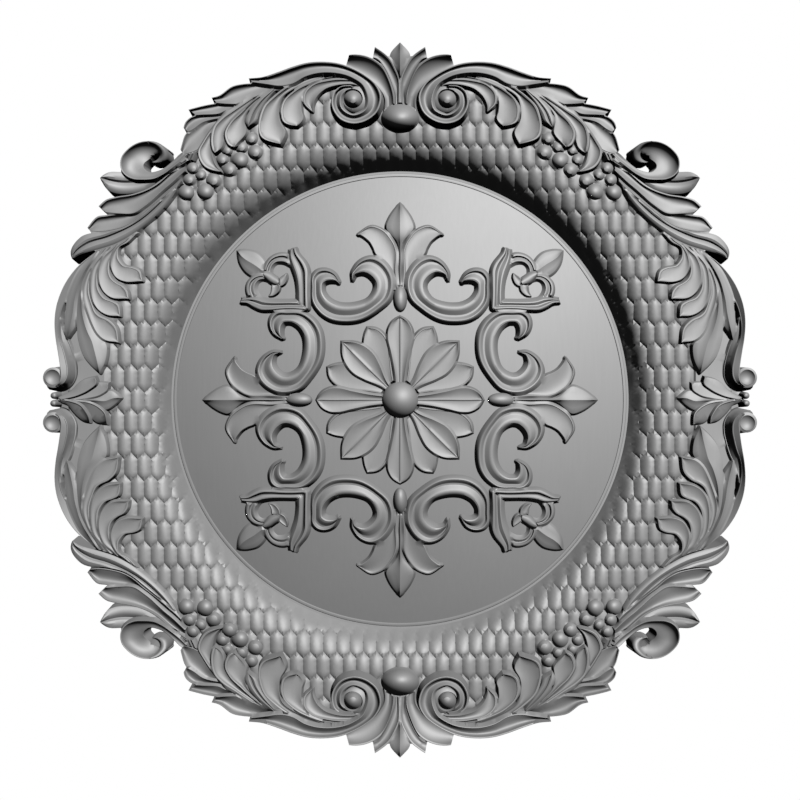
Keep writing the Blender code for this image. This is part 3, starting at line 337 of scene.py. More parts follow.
def chords(points: np.ndarray) -> np.ndarray:
    """Share of the whole length at each point."""
    total = np.concatenate([[0.0], np.cumsum(np.linalg.norm(np.diff(points, axis=0), axis=1))])
    return total / total[-1]


@dataclass(frozen=True)
class Chisel:
    """How finely the forms are cut.

    Args:
        stride: grid units between stations along a form.
        edge_round: grid units of the rounding at a form's edge.
        edge_drop: mm that the edge lies under the rounding.
        widest_lip: largest share of the width that a lip may take.
        widest_inset: largest share of the width that an inset may take.
        lip_wall: grid units from the lip to the cut beside it.
        round_part: largest part of the widest lip that the rounding may take.
        lip_part: largest part of it that the lip's top may take.
        rows: fewest and most stations along a form.
        girth: length around a ball over its radius, from which its sides are counted.
        ball_sides: fewest and most sides of a ball.
        ball_rings: fewest and most rings of a ball.
        ball_edge: how nearly upright a ball's surface is at its outline, 1 for upright.
    """

    stride: float = 2.0
    edge_round: float = 0.5
    edge_drop: float = 0.3
    widest_lip: float = 0.22
    widest_inset: float = 0.2
    lip_wall: float = 0.5
    round_part: float = 0.25
    lip_part: float = 0.85
    rows: tuple[int, int] = (10, 150)
    girth: float = 6.3
    ball_sides: tuple[int, int] = (12, 56)
    ball_rings: tuple[int, int] = (3, 9)
    ball_edge: float = 0.88

    def sheet(self, form: Union[Form, Ball], place: tuple[int, int, int]) -> "Sheet":
        """Surface of a form at one of its places."""
        return self.ball(form, place) if isinstance(form, Ball) else self.blade(form, place)

    def columns(self, form: Form, width: np.ndarray) -> list[tuple[np.ndarray, float]]:
        """Stations across a form.

        Args:
            form: the form.
            width: its width in grid units at each station along it.

        Returns:
            For each column its share of the width at each station, and its drop in mm.
        """
        wide = np.maximum(width, TINY)
        most = self.widest_lip
        side_a, side_b = [], []
        for lip, inset, out in ((form.lip_a, form.inset[0], side_a), (form.lip_b, form.inset[1], side_b)):
            start = np.minimum(inset / wide, self.widest_inset)
            out.append((start, -self.edge_drop))
            out.append((start + np.minimum(self.edge_round / wide, most * self.round_part), 0.0))
            if lip:
                out.append((start + np.minimum(lip / wide, most * self.lip_part), 0.0))
                out.append((start + np.minimum((lip + self.lip_wall) / wide, most), -form.step))
        start, start_drop = side_a[-1]
        end, end_drop = side_b[-1]
        columns = list(side_a)
        for share, dip in form.section.value[1:-1]:
            drop = start_drop * (1 - share) + end_drop * share
            depth = form.depth * np.minimum(1.0, width / form.full_width)
            columns.append((start + (1 - start - end) * share, drop + depth * dip))
        columns += [(1 - share, drop) for share, drop in reversed(side_b)]
        first, last = form.section.value[0][1], form.section.value[-1][1]
        if first or last:
            ends = (columns[0][0], form.depth * first), (columns[-1][0], form.depth * last)
            columns = [ends[0]] + columns[2:-2] + [ends[1]]
        return columns

    def blade(self, form: Form, place: tuple[int, int, int]) -> "Sheet":
        """Surface of a form between two edges."""
        edge_a, edge_b = np.array(form.edge_a, float), np.array(form.edge_b, float)
        along_a, along_b = chords(edge_a), chords(edge_b)
        if len(edge_a) == len(edge_b):
            along_a = along_b = chords((edge_a + edge_b) / 2)
        length = max(np.linalg.norm(np.diff(edge, axis=0), axis=1).sum() for edge in (edge_a, edge_b))
        rows = int(np.clip(length / self.stride, *self.rows))
        share = np.linspace(0.0, 1.0 - form.inset[2] / length, rows)
        line_a, line_b = curve(edge_a, share, along_a), curve(edge_b, share, along_b)
        pointed = np.linalg.norm(edge_a[-1] - edge_b[-1]) < TINY
        columns = self.columns(form, np.linalg.norm(line_a - line_b, axis=1))
        root_a, root_b, tip_a, tip_b = form.tops
        top_a = root_a * (1 - share) + tip_a * share
        top_b = root_b * (1 - share) + tip_b * share
        swell = form.swell * 4 * share * (1 - share)
        layers = []
        tip = (line_a[-1] + line_b[-1]) / 2
        for cross, drop in columns:
            across = cross[:, None]
            line = line_a * (1 - across) + line_b * across
            if pointed:
                line[-1] = tip
            grid = spread_to(line, place)
            heights = top_a * (1 - cross) + top_b * cross + swell + drop
            heights[-1] -= self.edge_drop
            if form.over_ground:
                layers.append(placed_over_ground(grid, heights))
            else:
                layers.append(DRAWING.placed(grid, heights))
        count = len(columns)
        points = np.stack(layers, axis=1).reshape(-1, 3)
        numbers = np.arange(rows * count).reshape(rows, count)
        if pointed:
            numbers[-1, :] = numbers[-1, 0]
        faces = []
        for near, far in zip(numbers.tolist(), numbers[1:].tolist()):
            for j in range(count - 1):
                for face in ((near[j], near[j + 1], far[j + 1]), (near[j], far[j + 1], far[j])):
                    if len(set(face)) == 3:
                        faces.append(face)
        grid = numbers.tolist()
        ring = [row[0] for row in grid] + grid[-1][1:-1]
        ring += [row[-1] for row in reversed(grid)] + grid[0][-2:0:-1]
        ring = [number for k, number in enumerate(ring) if number != ring[k - 1]]
        lines = [[row[j] for row in grid] for j in range(1, count - 1)]
        return Sheet(points, faces, ring, lines, form.draft)

    def ball(self, ball: Ball, place: tuple[int, int, int]) -> "Sheet":
        """Surface of a ball, its points closer together towards its outline."""
        size = max(ball.half_width, ball.half_height)
        sides = int(np.clip(size * self.girth / self.stride, *self.ball_sides))
        rings = int(np.clip(size / self.stride, *self.ball_rings))
        turns = 2 * math.pi * (np.arange(sides) + 0.5) / sides
        grids, rises = [], []
        for ring in range(rings):
            share = math.cos(0.5 * math.pi * ring / rings)
            across = ball.middle[0] + ball.half_width * share * np.cos(turns)
            down = ball.middle[1] + ball.half_height * share * np.sin(turns)
            grids.append(np.stack([across, down], axis=-1))
            low = math.sqrt(1 - self.ball_edge**2)
            rises += [(math.sqrt(1 - (self.ball_edge * share) ** 2) - low) / (1 - low)] * sides
        grid = spread_to(np.concatenate(grids + [np.array([ball.middle])]), place)
        heights = ball.base + (ball.apex - ball.base) * np.array(rises + [1.0])
        points = placed_over_ground(grid, heights) if ball.over_ground else DRAWING.placed(grid, heights)
        loops = [list(range(ring * sides, (ring + 1) * sides)) for ring in range(rings)]
        faces = []
        for outer, inner in zip(loops, loops[1:]):
            for k in range(sides):
                after = (k + 1) % sides
                faces += [(outer[k], outer[after], inner[after]), (outer[k], inner[after], inner[k])]
        faces += [(loops[-1][k], loops[-1][(k + 1) % sides], len(points) - 1) for k in range(sides)]
        return Sheet(points, faces, loops[0], [], ball.draft)


class Sheet:
    """The surface of one form as points with heights, and the faces between them."""

    def __init__(self, points: np.ndarray, faces: list, outline: list, lines: list, draft: float) -> None:
        """Keeps the surface.

        Args:
            points: x, z and height in mm.
            faces: triangles of point numbers.
            outline: numbers around the outline.
            lines: numbers along the inner lines.
            draft: mm that the side runs out from top to foot.
        """
        self.points = points
        self.faces = faces
        self.outline = outline
        self.lines = lines
        self.draft = draft
        self.tree = BVHTree.FromPolygons([(p[0], p[1], 0.0) for p in points.tolist()], faces)
        self.low = points[:, :2].min(axis=0) - draft
        self.high = points[:, :2].max(axis=0) + draft

    def reach(self, x: float, z: float) -> Optional[tuple[float, float]]:
        """Height of the sheet at its nearest point and the gap to it, or None past the foot of its side."""
        if not (self.low[0] <= x <= self.high[0] and self.low[1] <= z <= self.high[1]):
            return None
        place, _, face, gap = self.tree.find_nearest((x, z, 0.0), self.draft)
        if place is None:
            return None
        corners = [self.points[i] for i in self.faces[face]]
        flat = [Vector((p[0], p[1], 0.0)) for p in corners]
        tall = [Vector((0.0, 0.0, p[2])) for p in corners]
        return barycentric_transform(place, *flat, *tall).z, gap

    def covers(self, x: float, z: float) -> bool:
        """Whether the sheet or its side lies over this place."""
        if not (self.low[0] <= x <= self.high[0] and self.low[1] <= z <= self.high[1]):
            return False
        return self.tree.find_nearest((x, z, 0.0), self.draft)[0] is not None


# Settings that the hanging lobes of the side border share.
HANGING_LOBE: dict[str, Any] = {
    "tops": (37, 36, 41, 40), "depth": 0.8, "lip_b": 1.8, "step": 0.4, "inset": (1.0, 0.6, 1.0),
    "draft": 1.5,
}
# Settings that the upper lobes of the small palmette share.
UPPER_LOBE: dict[str, Any] = {"section": Cut.PLAIN, "depth": 0.5, "inset": (0.4, 0.8, 0.4), "draft": 1.1}
# Settings that the lower lobes of the small palmette share.
LOWER_LOBE: dict[str, Any] = {
    "section": Cut.PLAIN, "depth": 0.5, "lip_a": 1.0, "step": 0.8, "inset": (0.4, 0.4, 0.4), "draft": 1.2,
}
# Settings that the middle leaves of the spray share.
SPRAY_LEAF: dict[str, Any] = {
    "section": Cut.SCOOP, "depth": 3.5, "lip_a": 1.4, "lip_b": 0.8, "inset": (0.4, 1.2, 1.6), "draft": 1.6,
}
# Settings that the outer lobes of the leaf border share.
OUTER_LEAF: dict[str, Any] = {"section": Cut.SCOOP, "lip_a": 0.8, "inset": (0.6, 0.6, 3.0), "draft": 1.5}
# Settings that the inner lobes of the leaf border share.
INNER_LEAF: dict[str, Any] = {"inset": (1.2, 1.0, 1.8), "draft": 1.4}
# Settings that the front petals of the flower share.
RIBBED_PETAL: dict[str, Any] = {
    "section": Cut.RIBBED, "depth": 1.8, "over_ground": True, "inset": (1.2, 1.2, 1.4), "draft": 1.8,
}
# Settings that the loops of the heart share.
HEART_LOOP: dict[str, Any] = {
    "tops": (7, 7, 7, 7), "section": Cut.RIMMED, "depth": 3.8, "over_ground": True,
    "inset": (1.4, 1.0, 0.0), "draft": 1.6,
}
# Settings that the arms of the heart share.
HEART_ARM: dict[str, Any] = {
    "tops": (9, 10, 10, 10), "section": Cut.RIMMED, "depth": 4.8, "over_ground": True,
    "inset": (1.4, 0.6, 1.0), "draft": 1.9,
}
# Settings that the horns of the heart share.
HEART_HORN: dict[str, Any] = {"tops": (7, 7, 6, 6), "depth": 1.2, "over_ground": True, "draft": 1.1}


@dataclass(frozen=True)
class SideBorder:
    """Stem, curl and hanging lobes of the border at the left, upper half."""

    side_plate: Form = Form(
        edge_a=(
            (100, 248), (90, 258), (80, 268), (70, 282), (62, 300), (60, 320), (62, 345), (70, 368),
            (66, 400),
        ),
        edge_b=(
            (120, 246), (114, 256), (111, 270), (108, 290), (107, 320), (107, 345), (106, 368), (106, 385),
            (106, 400),
        ),
        tops=(25, 32, 31, 34.5), section=Cut.PLAIN, draft=1.2,
    )
    side_stem: Form = Form(
        edge_a=(
            (100, 248), (89.6, 256.1), (80.6, 263.2), (71.7, 273), (62.8, 287.3), (56.5, 304.3),
            (54.3, 320.4), (55.2, 338.2), (57.4, 351.6), (59, 362), (60, 370), (60.4, 377), (59, 382),
            (55.5, 386),
        ),
        edge_b=(
            (103, 252), (93, 261), (84, 272), (75.5, 284), (67, 298), (61.5, 311), (59, 325), (60, 339),
            (64, 350), (66.5, 360), (68, 369), (67, 378), (63, 384), (55.5, 386),
        ),
        tops=(34, 30, 49, 46), section=Cut.PLAIN, lip_b=1.0, inset=(0.4, 0.0, 0.0), draft=1.0,
    )
    side_wrap: Form = Form(
        edge_a=(
            (59.2, 308), (58.6, 322), (59.6, 336), (63.6, 348), (66.4, 358), (68, 368), (67, 377.5),
            (63, 384), (56, 388), (47, 387),
        ),
        edge_b=(
            (61.4, 309), (62, 322), (66, 334), (71.5, 345), (75, 356), (77.4, 367), (77.2, 378),
            (72.6, 386.4), (64, 391.8), (50, 390),
        ),
        tops=(34, 40, 46, 22), section=Cut.PLAIN, lip_b=1.2, inset=(0.0, 0.4, 0.0), draft=1.0,
    )
    side_curl: Ball = Ball((53.2, 377.6), 10.2, 10.2, 44.5, 46, draft=1.4)
    side_dish: Ball = Ball((52.6, 377.2), 7.6, 7.6, 45.5, 42.5, draft=0.3)
    side_leaf_6: Form = Form(
        edge_a=(
            (107, 241), (98, 250), (89.6, 258), (78.9, 269.5), (71.7, 283), (66.4, 298), (64.6, 311),
            (63.7, 329), (66.8, 339.6),
        ),
        edge_b=(
            (113, 243), (104, 252), (96, 262), (90, 274), (86, 287), (83.5, 300), (81.5, 314),
            (75.3, 329.3), (66.8, 339.6),
        ),
        tops=(36, 36, 37, 37), section=Cut.KEEL, depth=3.0, inset=(1.0, 1.4, 1.0), draft=1.5,
    )
    side_leaf_5: Form = Form(
        edge_a=(
            (103, 245), (92, 262), (80, 285), (76, 310), (76.2, 329.3), (77.1, 340), (81.5, 354.3),
            (89.6, 365), (99.8, 374.4),
        ),
        edge_b=(
            (109, 247), (98, 264), (88, 285), (88, 310), (98, 332), (107, 343), (108.5, 350), (106, 363),
            (99.8, 374.4),
        ),
        tops=(36, 36, 40, 40), section=Cut.KEEL, depth=3.0, inset=(1.0, 1.4, 1.0), draft=1.5,
    )
    side_leaf_4: Form = Form(
        edge_a=(
            (109, 242), (98, 256), (86, 275), (82, 290), (83.3, 301.6), (90.5, 323), (97, 335),
            (105, 341.2), (119, 343.1),
        ),
        edge_b=(
            (113, 245), (102, 258), (92, 275), (90, 292), (94, 307), (100.3, 315), (110.1, 320), (117, 328),
            (119, 343.1),
        ),
        **HANGING_LOBE,
    )
    side_leaf_3: Form = Form(
        edge_a=(
            (115, 239), (104, 252), (92.3, 266.8), (89.6, 280.2), (90, 293.6), (93.1, 304.3), (98.5, 311.4),
            (107.4, 316), (120.8, 316.8),
        ),
        edge_b=(
            (121, 241), (110, 254), (100, 268), (98.5, 280), (100, 290), (106, 298), (114, 301),
            (119.5, 305), (120.8, 316.8),
        ),
        **HANGING_LOBE,
    )
    side_leaf_2: Form = Form(
        edge_a=(
            (122, 237), (112, 248), (103, 256.1), (98.5, 266.8), (97.6, 278.4), (99.4, 286.4),
            (103.9, 293.6), (112, 298.6), (129.3, 298.9),
        ),
        edge_b=(
            (128, 239), (118, 250), (111, 262), (110, 271), (113, 279), (118, 283), (124, 286), (128, 291),
            (129.3, 298.9),
        ),
        **HANGING_LOBE,
    )
    side_leaf_1: Form = Form(
        edge_a=(
            (134, 230), (125, 240), (116.4, 247.1), (111.9, 253.4), (109.7, 264.1), (111, 271.3),
            (115.5, 278.4), (125, 282.4), (143.1, 281.5),
        ),
        edge_b=(
            (138, 233), (128, 243), (119.5, 248), (118.6, 254.3), (120.8, 260.5), (125.3, 265.4),
            (134, 267), (140.5, 270.4), (143.1, 281.5),
        ),
        **HANGING_LOBE,
    )

    def layers(self) -> list[Layer]:
        """Layers of its forms."""
        return [
            Layer(0, Spread.QUARTERS, (
                self.side_plate, self.side_wrap, self.side_curl, self.side_dish, self.side_stem,
            )),
            Layer(2, Spread.QUARTERS, (
                self.side_leaf_6, self.side_leaf_5, self.side_leaf_4, self.side_leaf_3,
                self.side_leaf_2, self.side_leaf_1,
            )),
        ]


@dataclass(frozen=True)
class SidePalmette:
    """Small palmette between the two side curls."""

    ball_upper: Ball = Ball((53.9, 395.6), 3.4, 3.4, 30, 33)
    ball_lower: Ball = Ball((53.6, 403.4), 3.4, 3.4, 30, 33)
    palmette_upper_outer: Form = Form(
        edge_a=((58, 397), (70, 391), (78, 383), (86, 378.5), (95.4, 376.4)),
        edge_b=((62, 400), (78, 396), (90, 390), (97, 383), (95.4, 376.4)),
        tops=(34, 38, 40, 44), **UPPER_LOBE,
    )
    palmette_lower_outer: Form = Form(
        edge_a=((62, 400), (69.3, 400.6), (80.4, 404.4), (86, 411), (89.3, 417.6), (89.9, 423)),
        edge_b=((58, 402), (67, 405.6), (73.8, 413.3), (80.4, 419.6), (85, 422), (89.9, 423)),
        tops=(37, 33, 42, 34.5), **LOWER_LOBE,
    )
    palmette_upper_inner: Form = Form(
        edge_a=((66, 399), (82, 392), (94, 384.5), (100, 382), (108.8, 382.7)),
        edge_b=((66, 401), (88, 399), (102, 395), (108, 390), (108.8, 382.7)),
        tops=(33, 36, 38, 41), **UPPER_LOBE,
    )
    palmette_lower_inner: Form = Form(
        edge_a=((74, 400.4), (91.5, 403), (100.4, 407.6), (106, 414.4), (107, 424.6)),
        edge_b=((74, 402), (84, 408), (90, 417), (97, 423), (107, 424.6)),
        tops=(37, 34, 43, 35), **LOWER_LOBE,
    )
    palmette_centre: Form = Form(
        edge_a=((58, 398.5), (80, 399), (98.5, 396), (106, 391), (113, 390.5), (122.2, 398)),
        edge_b=((58, 401.5), (80, 402), (92, 405), (104.8, 410.8), (114, 406), (122.2, 398)),
        tops=(35, 35, 38, 38), section=Cut.KEEL, depth=2.6, inset=(0.8, 0.8, 0.8), draft=1.4,
    )

    def layers(self) -> list[Layer]:
        """Layers of its forms."""
        return [
            Layer(1, Spread.SIDES, (
                self.ball_upper, self.ball_lower, self.palmette_centre, self.palmette_upper_inner,
                self.palmette_upper_outer, self.palmette_lower_inner, self.palmette_lower_outer,
            )),
        ]


@dataclass(frozen=True)
class ScrollSpray:
    """Scroll and the leaves that spring from its stem."""

    scroll_leaf_4: Form = Form(
        edge_a=(
            (192, 148), (175, 182), (160, 196), (131.4, 219), (100.8, 230.5), (80, 237), (70.2, 252.4),
            (71.7, 260),
        ),
        edge_b=(
            (201, 148), (192, 166), (183.4, 181), (172.2, 200.4), (146.7, 226), (116.1, 245.3),
            (100.8, 250.4), (80.4, 256), (71.7, 260),
        ),
        tops=(40, 40, 28, 30), section=Cut.GROOVE, depth=2.4, swell=2.0, inset=(0.5, 2.0, 1.5), draft=1.6,
    )
    scroll_leaf_3: Form = Form(
        edge_a=(
            (188, 165), (172, 180), (146.7, 202), (133.5, 211), (105.9, 214.7), (95.7, 217.2), (86, 229),
        ),
        edge_b=(
            (188, 175), (175, 189), (162, 199), (131.4, 223.8), (116.1, 230.5), (100.8, 233), (89.6, 232),
        ),
        tops=(40, 42, 30, 31), **SPRAY_LEAF,
    )
    scroll_leaf_2: Form = Form(
        edge_a=(
            (187, 160), (172.2, 170), (151.8, 186), (131.4, 194), (116.1, 196.5), (105.9, 199.4),
            (97.2, 207),
        ),
        edge_b=(
            (187, 170), (172, 184), (162, 193), (146.7, 206.5), (133.5, 214.5), (121.2, 214.7),
            (105.4, 213.2),
        ),
        tops=(40, 42, 32, 33), **SPRAY_LEAF,
    )
    scroll_leaf_1: Form = Form(
        edge_a=((186, 158), (172, 167), (150, 174), (131, 172), (120.2, 171), (107, 172), (98.8, 177.4)),
        edge_b=(
            (186, 164), (175.3, 170.8), (162, 183), (141.6, 194), (114.1, 195), (103.9, 188.2),
            (98.8, 177.4),
        ),
        tops=(41, 42, 32, 32), section=Cut.GROOVE, depth=2.4, swell=-12.0, inset=(1.0, 2.2, 1.6), draft=1.6,
    )
    scroll: Form = Form(
        edge_a=(
            (191, 150), (182.4, 159.6), (172.2, 167.8), (162, 174.9), (151.8, 179), (141.6, 179.5),
            (133.5, 179), (126.3, 175.9), (121.7, 170.8), (120.2, 164.7), (121.2, 157.6), (127.3, 149.4),
            (137.6, 142.8), (147.8, 141), (158, 142.8), (166.1, 148.4),
        ),
        edge_b=(
            (188, 148), (179.4, 154.5), (172.2, 161.6), (162, 169.3), (151.8, 172.3), (148, 171.6),
            (145.7, 170), (144.3, 168.5), (143.7, 167), (143.6, 165.5), (144.2, 164), (145.5, 162.5),
            (147.5, 161), (149.5, 159.5), (151, 158), (152, 156.5),
        ),
        tops=(41, 40, 31, 19), section=Cut.SCOOP, depth=5.5, full_width=30.0, lip_a=1.0,
        inset=(0.0, 0.0, 0.0), draft=1.8,
    )
    scroll_flap: Form = Form(
        edge_a=(
            (149, 141), (154, 141.6), (159, 143.2), (164, 146.6), (168, 151.5), (169, 156.5),
            (167.6, 160.8), (164, 163.4), (157, 164),
        ),
        edge_b=(
            (149, 142.6), (152, 143.8), (155.5, 146), (158.6, 149.4), (160, 153), (159.4, 157),
            (157.6, 159.4), (155, 161), (152, 162),
        ),
        tops=(36, 35, 20, 21), section=Cut.ROLL, depth=5.0, inset=(0.0, 0.0, 0.4), draft=1.0,
    )

    def layers(self) -> list[Layer]:
        """Layers of its forms."""
        return [
            Layer(3, Spread.QUARTERS, (
                self.scroll_leaf_4, self.scroll_leaf_3, self.scroll_leaf_2, self.scroll_leaf_1,
                self.scroll, self.scroll_flap,
            )),
        ]


@dataclass(frozen=True)
class BerryBunch:
    """Bunch of berries on the ring.

    Args:
        berries: grid points and radii in grid units.
        base: mm from the ring to a berry's widest place.
        rise: mm of height over that per grid unit of radius.
    """

    berries: tuple = (
        (251.5, 139.1, 6.5), (255.3, 152.5, 7.6), (241.5, 147.5, 6.6), (240, 160.5, 8.3),
        (227.3, 150.6, 5.8), (222.4, 160.1, 6.1), (229.6, 170.1, 7.3), (213.6, 180.8, 7.7),
        (205.2, 191.9, 8.3), (186.4, 192.7, 8.1), (189.5, 180, 6.3), (200.9, 175.1, 5.7),
        (192.9, 168.5, 6.1),
    )
    base: float = 2.0
    rise: float = 0.75

    def layers(self) -> list[Layer]:
        """Layers of its forms."""
        balls = [Ball((x, y), r, r, self.base, self.base + r * self.rise, True) for x, y, r in self.berries]
        return [Layer(4, Spread.QUARTERS, tuple(balls))]


@dataclass(frozen=True)
class TopPalmette:
    """Palmette at the top with the ball below it."""

    top_centre: Form = Form(
        edge_a=((396.5, 106), (396.5, 80), (393, 67), (389.3, 54.9), (400, 41.5)),
        edge_b=((403.5, 106), (403.5, 80), (407, 67), (410.7, 54.9), (400, 41.5)),
        tops=(38, 38, 46, 46), section=Cut.KEEL, depth=4.0, inset=(0.6, 0.6, 1.0), draft=1.4,
    )
    top_outer: Form = Form(
        edge_a=((384, 112), (384, 98), (378, 88), (362, 76), (344, 66)),
        edge_b=((396, 108), (394, 91), (390, 78.5), (383, 66), (371.4, 57.5), (353.6, 54), (346.6, 54.9)),
        tops=(37, 39, 38, 48), depth=2.6, lip_b=1.8, inset=(0.4, 0.4, 2.6), draft=1.6,
    )
    top_inner: Form = Form(
        edge_a=((395, 106), (393.8, 91.2), (389.3, 78.5), (384.2, 68.3), (376.5, 59.3), (370.8, 57.8)),
        edge_b=((399.3, 106), (398.9, 77.2), (395, 67), (389.3, 57.4), (379, 49), (372.7, 45.1)),
        tops=(37, 39, 42, 48), depth=2.0, lip_b=1.8, inset=(0.4, 0.4, 2.6), draft=1.4,
    )
    top_ball: Ball = Ball((400, 117.8), 18.0, 13.6, 37, 52, draft=1.0)

    def layers(self) -> list[Layer]:
        """Layers of its forms."""
        return [
            Layer(5, Spread.ENDS, (self.top_centre,)),
            Layer(6, Spread.QUARTERS, (self.top_outer, self.top_inner)),
            Layer(9, Spread.ENDS, (self.top_ball,)),
        ]


@dataclass(frozen=True)
class LeafBorder:
    """Acanthus lobes and the volute they spring from."""

    leaf_e: Form = Form(
        edge_a=((240, 108), (220, 112), (203, 120), (193, 127), (185, 134), (181.2, 144.9), (179.2, 153)),
        edge_b=((240, 118), (225, 124), (212, 132), (208, 141), (200, 149), (190, 153.5), (183.8, 154.3)),
        tops=(38, 38, 40, 39), depth=3.5, **OUTER_LEAF,
    )
    leaf_d: Form = Form(
        edge_a=(
            (245, 104), (225, 110), (213.9, 113), (200.6, 114.5), (190.4, 116.8), (185.3, 121.4),
            (182.4, 130.1),
        ),
        edge_b=((245, 112), (228, 118), (213.9, 120), (203.7, 123), (193.5, 130), (186.3, 133.7)),
        tops=(37, 37, 39, 38), depth=3.5, **OUTER_LEAF,
    )
    leaf_c: Form = Form(
        edge_a=((262, 93), (240, 99), (221, 102), (206.7, 104.5), (193.5, 107.7), (185.5, 110)),
        edge_b=((262, 100), (240, 110), (227.1, 111), (219, 114.3), (203.7, 115.2), (194, 115.8)),
        tops=(37, 36, 40, 39), depth=4.0, **OUTER_LEAF,
    )
    leaf_b: Form = Form(
        edge_a=(
            (310, 78), (290, 80), (256.7, 82.6), (241.4, 83.7), (231.2, 86.2), (219, 94.9), (208.8, 97.8),
        ),
        edge_b=(
            (310, 88), (290, 91), (266.9, 92.5), (254.7, 98), (241.4, 104), (228, 104.5), (214.4, 103.3),
        ),
        tops=(36, 35, 42, 40), depth=5.0, **OUTER_LEAF,
    )
    leaf_f: Form = Form(
        edge_a=(
            (241, 102), (222, 114), (210.8, 128.6), (202, 142), (197, 152), (203.7, 167.3), (212.9, 171.4),
            (222, 172),
        ),
        edge_b=((246, 108), (230, 120), (216, 134), (213, 148), (216, 163), (222, 172)),
        tops=(38, 37, 45, 41), depth=1.5, lip_a=2.0, **INNER_LEAF,
    )
    leaf_g: Form = Form(
        edge_a=(
            (252, 96), (233.3, 108.2), (221, 116.3), (212.9, 125.5), (209.8, 140), (211.5, 150),
            (213.9, 154.1),
        ),
        edge_b=(
            (252, 104), (239.4, 114), (229, 126), (225, 134), (225, 141.8), (221, 149.5), (213.9, 154.1),
        ),
        tops=(38, 37, 43, 39), depth=1.3, lip_a=2.0, **INNER_LEAF,
    )
    leaf_h: Form = Form(
        edge_a=(
            (272, 88), (251.6, 101), (239.4, 112.2), (228.2, 123.5), (223.6, 133.7), (226, 143.5),
            (233.3, 148.5),
        ),
        edge_b=(
            (272, 92), (256.7, 103), (248, 113.3), (246, 121.4), (247, 127.6), (246.5, 133.7),
            (233.3, 148.5),
        ),
        tops=(38, 37, 44, 39), depth=1.5, lip_a=2.0, **INNER_LEAF,
    )
    leaf_i: Form = Form(
        edge_a=((273, 88), (256.7, 101), (247.6, 113.3), (245, 121.4), (247.6, 127.6)),
        edge_b=((275, 92), (266, 104), (260, 114), (256.2, 122.4), (247.6, 127.6)),
        tops=(39, 38, 41, 40), section=Cut.GROOVE, depth=1.8, inset=(0.8, 0.8, 1.0), draft=1.3,
    )
    leaf_j: Form = Form(
        edge_a=(
            (352, 76.8), (340, 74.3), (326, 72.9), (307.8, 75), (292.4, 81.6), (272, 95.9), (261.8, 107.1),
            (257.2, 126), (262, 139), (281.2, 145),
        ),
        edge_b=(
            (352, 77.6), (340, 76.6), (326, 77.4), (312, 82), (292.4, 91), (282.2, 101), (280, 113.3),
            (281.5, 122), (286.5, 133), (281.2, 145),
        ),
        tops=(40, 38, 48, 44), depth=1.8, lip_a=2.0, **INNER_LEAF,
    )
    leaf_k: Form = Form(
        edge_a=(
            (354, 77.6), (340, 76.2), (325, 77.2), (307.8, 82.7), (292.4, 90.8), (282.2, 101), (279.7, 114),
            (285, 124), (297.6, 127),
        ),
        edge_b=(
            (354, 78.8), (345, 79), (330, 80.4), (318, 85.7), (307, 93), (302.5, 101), (302.7, 111),
            (303.7, 120), (297.6, 127),
        ),
        tops=(40, 38, 45, 41), depth=1.5, lip_a=2.0, **INNER_LEAF,
    )
    leaf_l: Form = Form(
        edge_a=(
            (372, 98), (368.5, 89), (358, 79.5), (340, 77.6), (325.5, 79.7), (310.2, 84.8), (302.6, 93.8),
            (303, 104), (313.4, 112.9),
        ),
        edge_b=(
            (369.5, 99.5), (366, 92), (357, 86.6), (346, 85.3), (337, 86), (325.5, 90), (318, 97),
            (314.5, 104), (313.4, 112.9),
        ),
        tops=(44, 44, 39, 38), depth=1.5, lip_a=1.6, **INNER_LEAF,
    )
    volute: Form = Form(
        edge_a=(
            (248.6, 78.1), (261.8, 76.7), (277.1, 71.9), (292.4, 66.3), (307.8, 62.2), (326, 61.4),
            (344, 64.4), (363.8, 74), (376.5, 84.8), (381.6, 98.9), (376.5, 113), (366, 121),
            (352.9, 123.8), (339.5, 119), (332.5, 109), (331.3, 99.5), (334, 91), (341, 86), (351, 85),
        ),
        edge_b=(
            (252.7, 82.7), (266, 84.6), (280, 86.4), (292.4, 84), (305, 77), (320, 73.2), (337, 73.6),
            (352, 78), (362.5, 85.5), (367.5, 99.5), (365.5, 108.5), (360, 112.5), (352.9, 114.2),
            (345.5, 111), (341.5, 106), (340.8, 99.5), (342, 95.5), (345.5, 92.5), (351, 91.5),
        ),
        tops=(41, 38, 50, 46), section=Cut.SCOOP, depth=5.0, swell=5.0, lip_a=1.4, lip_b=1.0,
        inset=(0.4, 0.0, 0.0), draft=2.0,
    )
    volute_core: Ball = Ball((355.4, 99.8), 13.4, 13.2, 42, 46)
    volute_eye: Ball = Ball((352.9, 99.5), 9, 9, 41, 51)

    def layers(self) -> list[Layer]:
        """Layers of its forms."""
        return [
            Layer(7, Spread.QUARTERS, (
                self.leaf_e, self.leaf_d, self.leaf_c, self.leaf_b, self.leaf_f,
                self.leaf_g, self.leaf_h, self.leaf_i, self.leaf_j, self.leaf_k, self.leaf_l,
            )),
            Layer(8, Spread.QUARTERS, (self.volute_core, self.volute, self.volute_eye)),
        ]


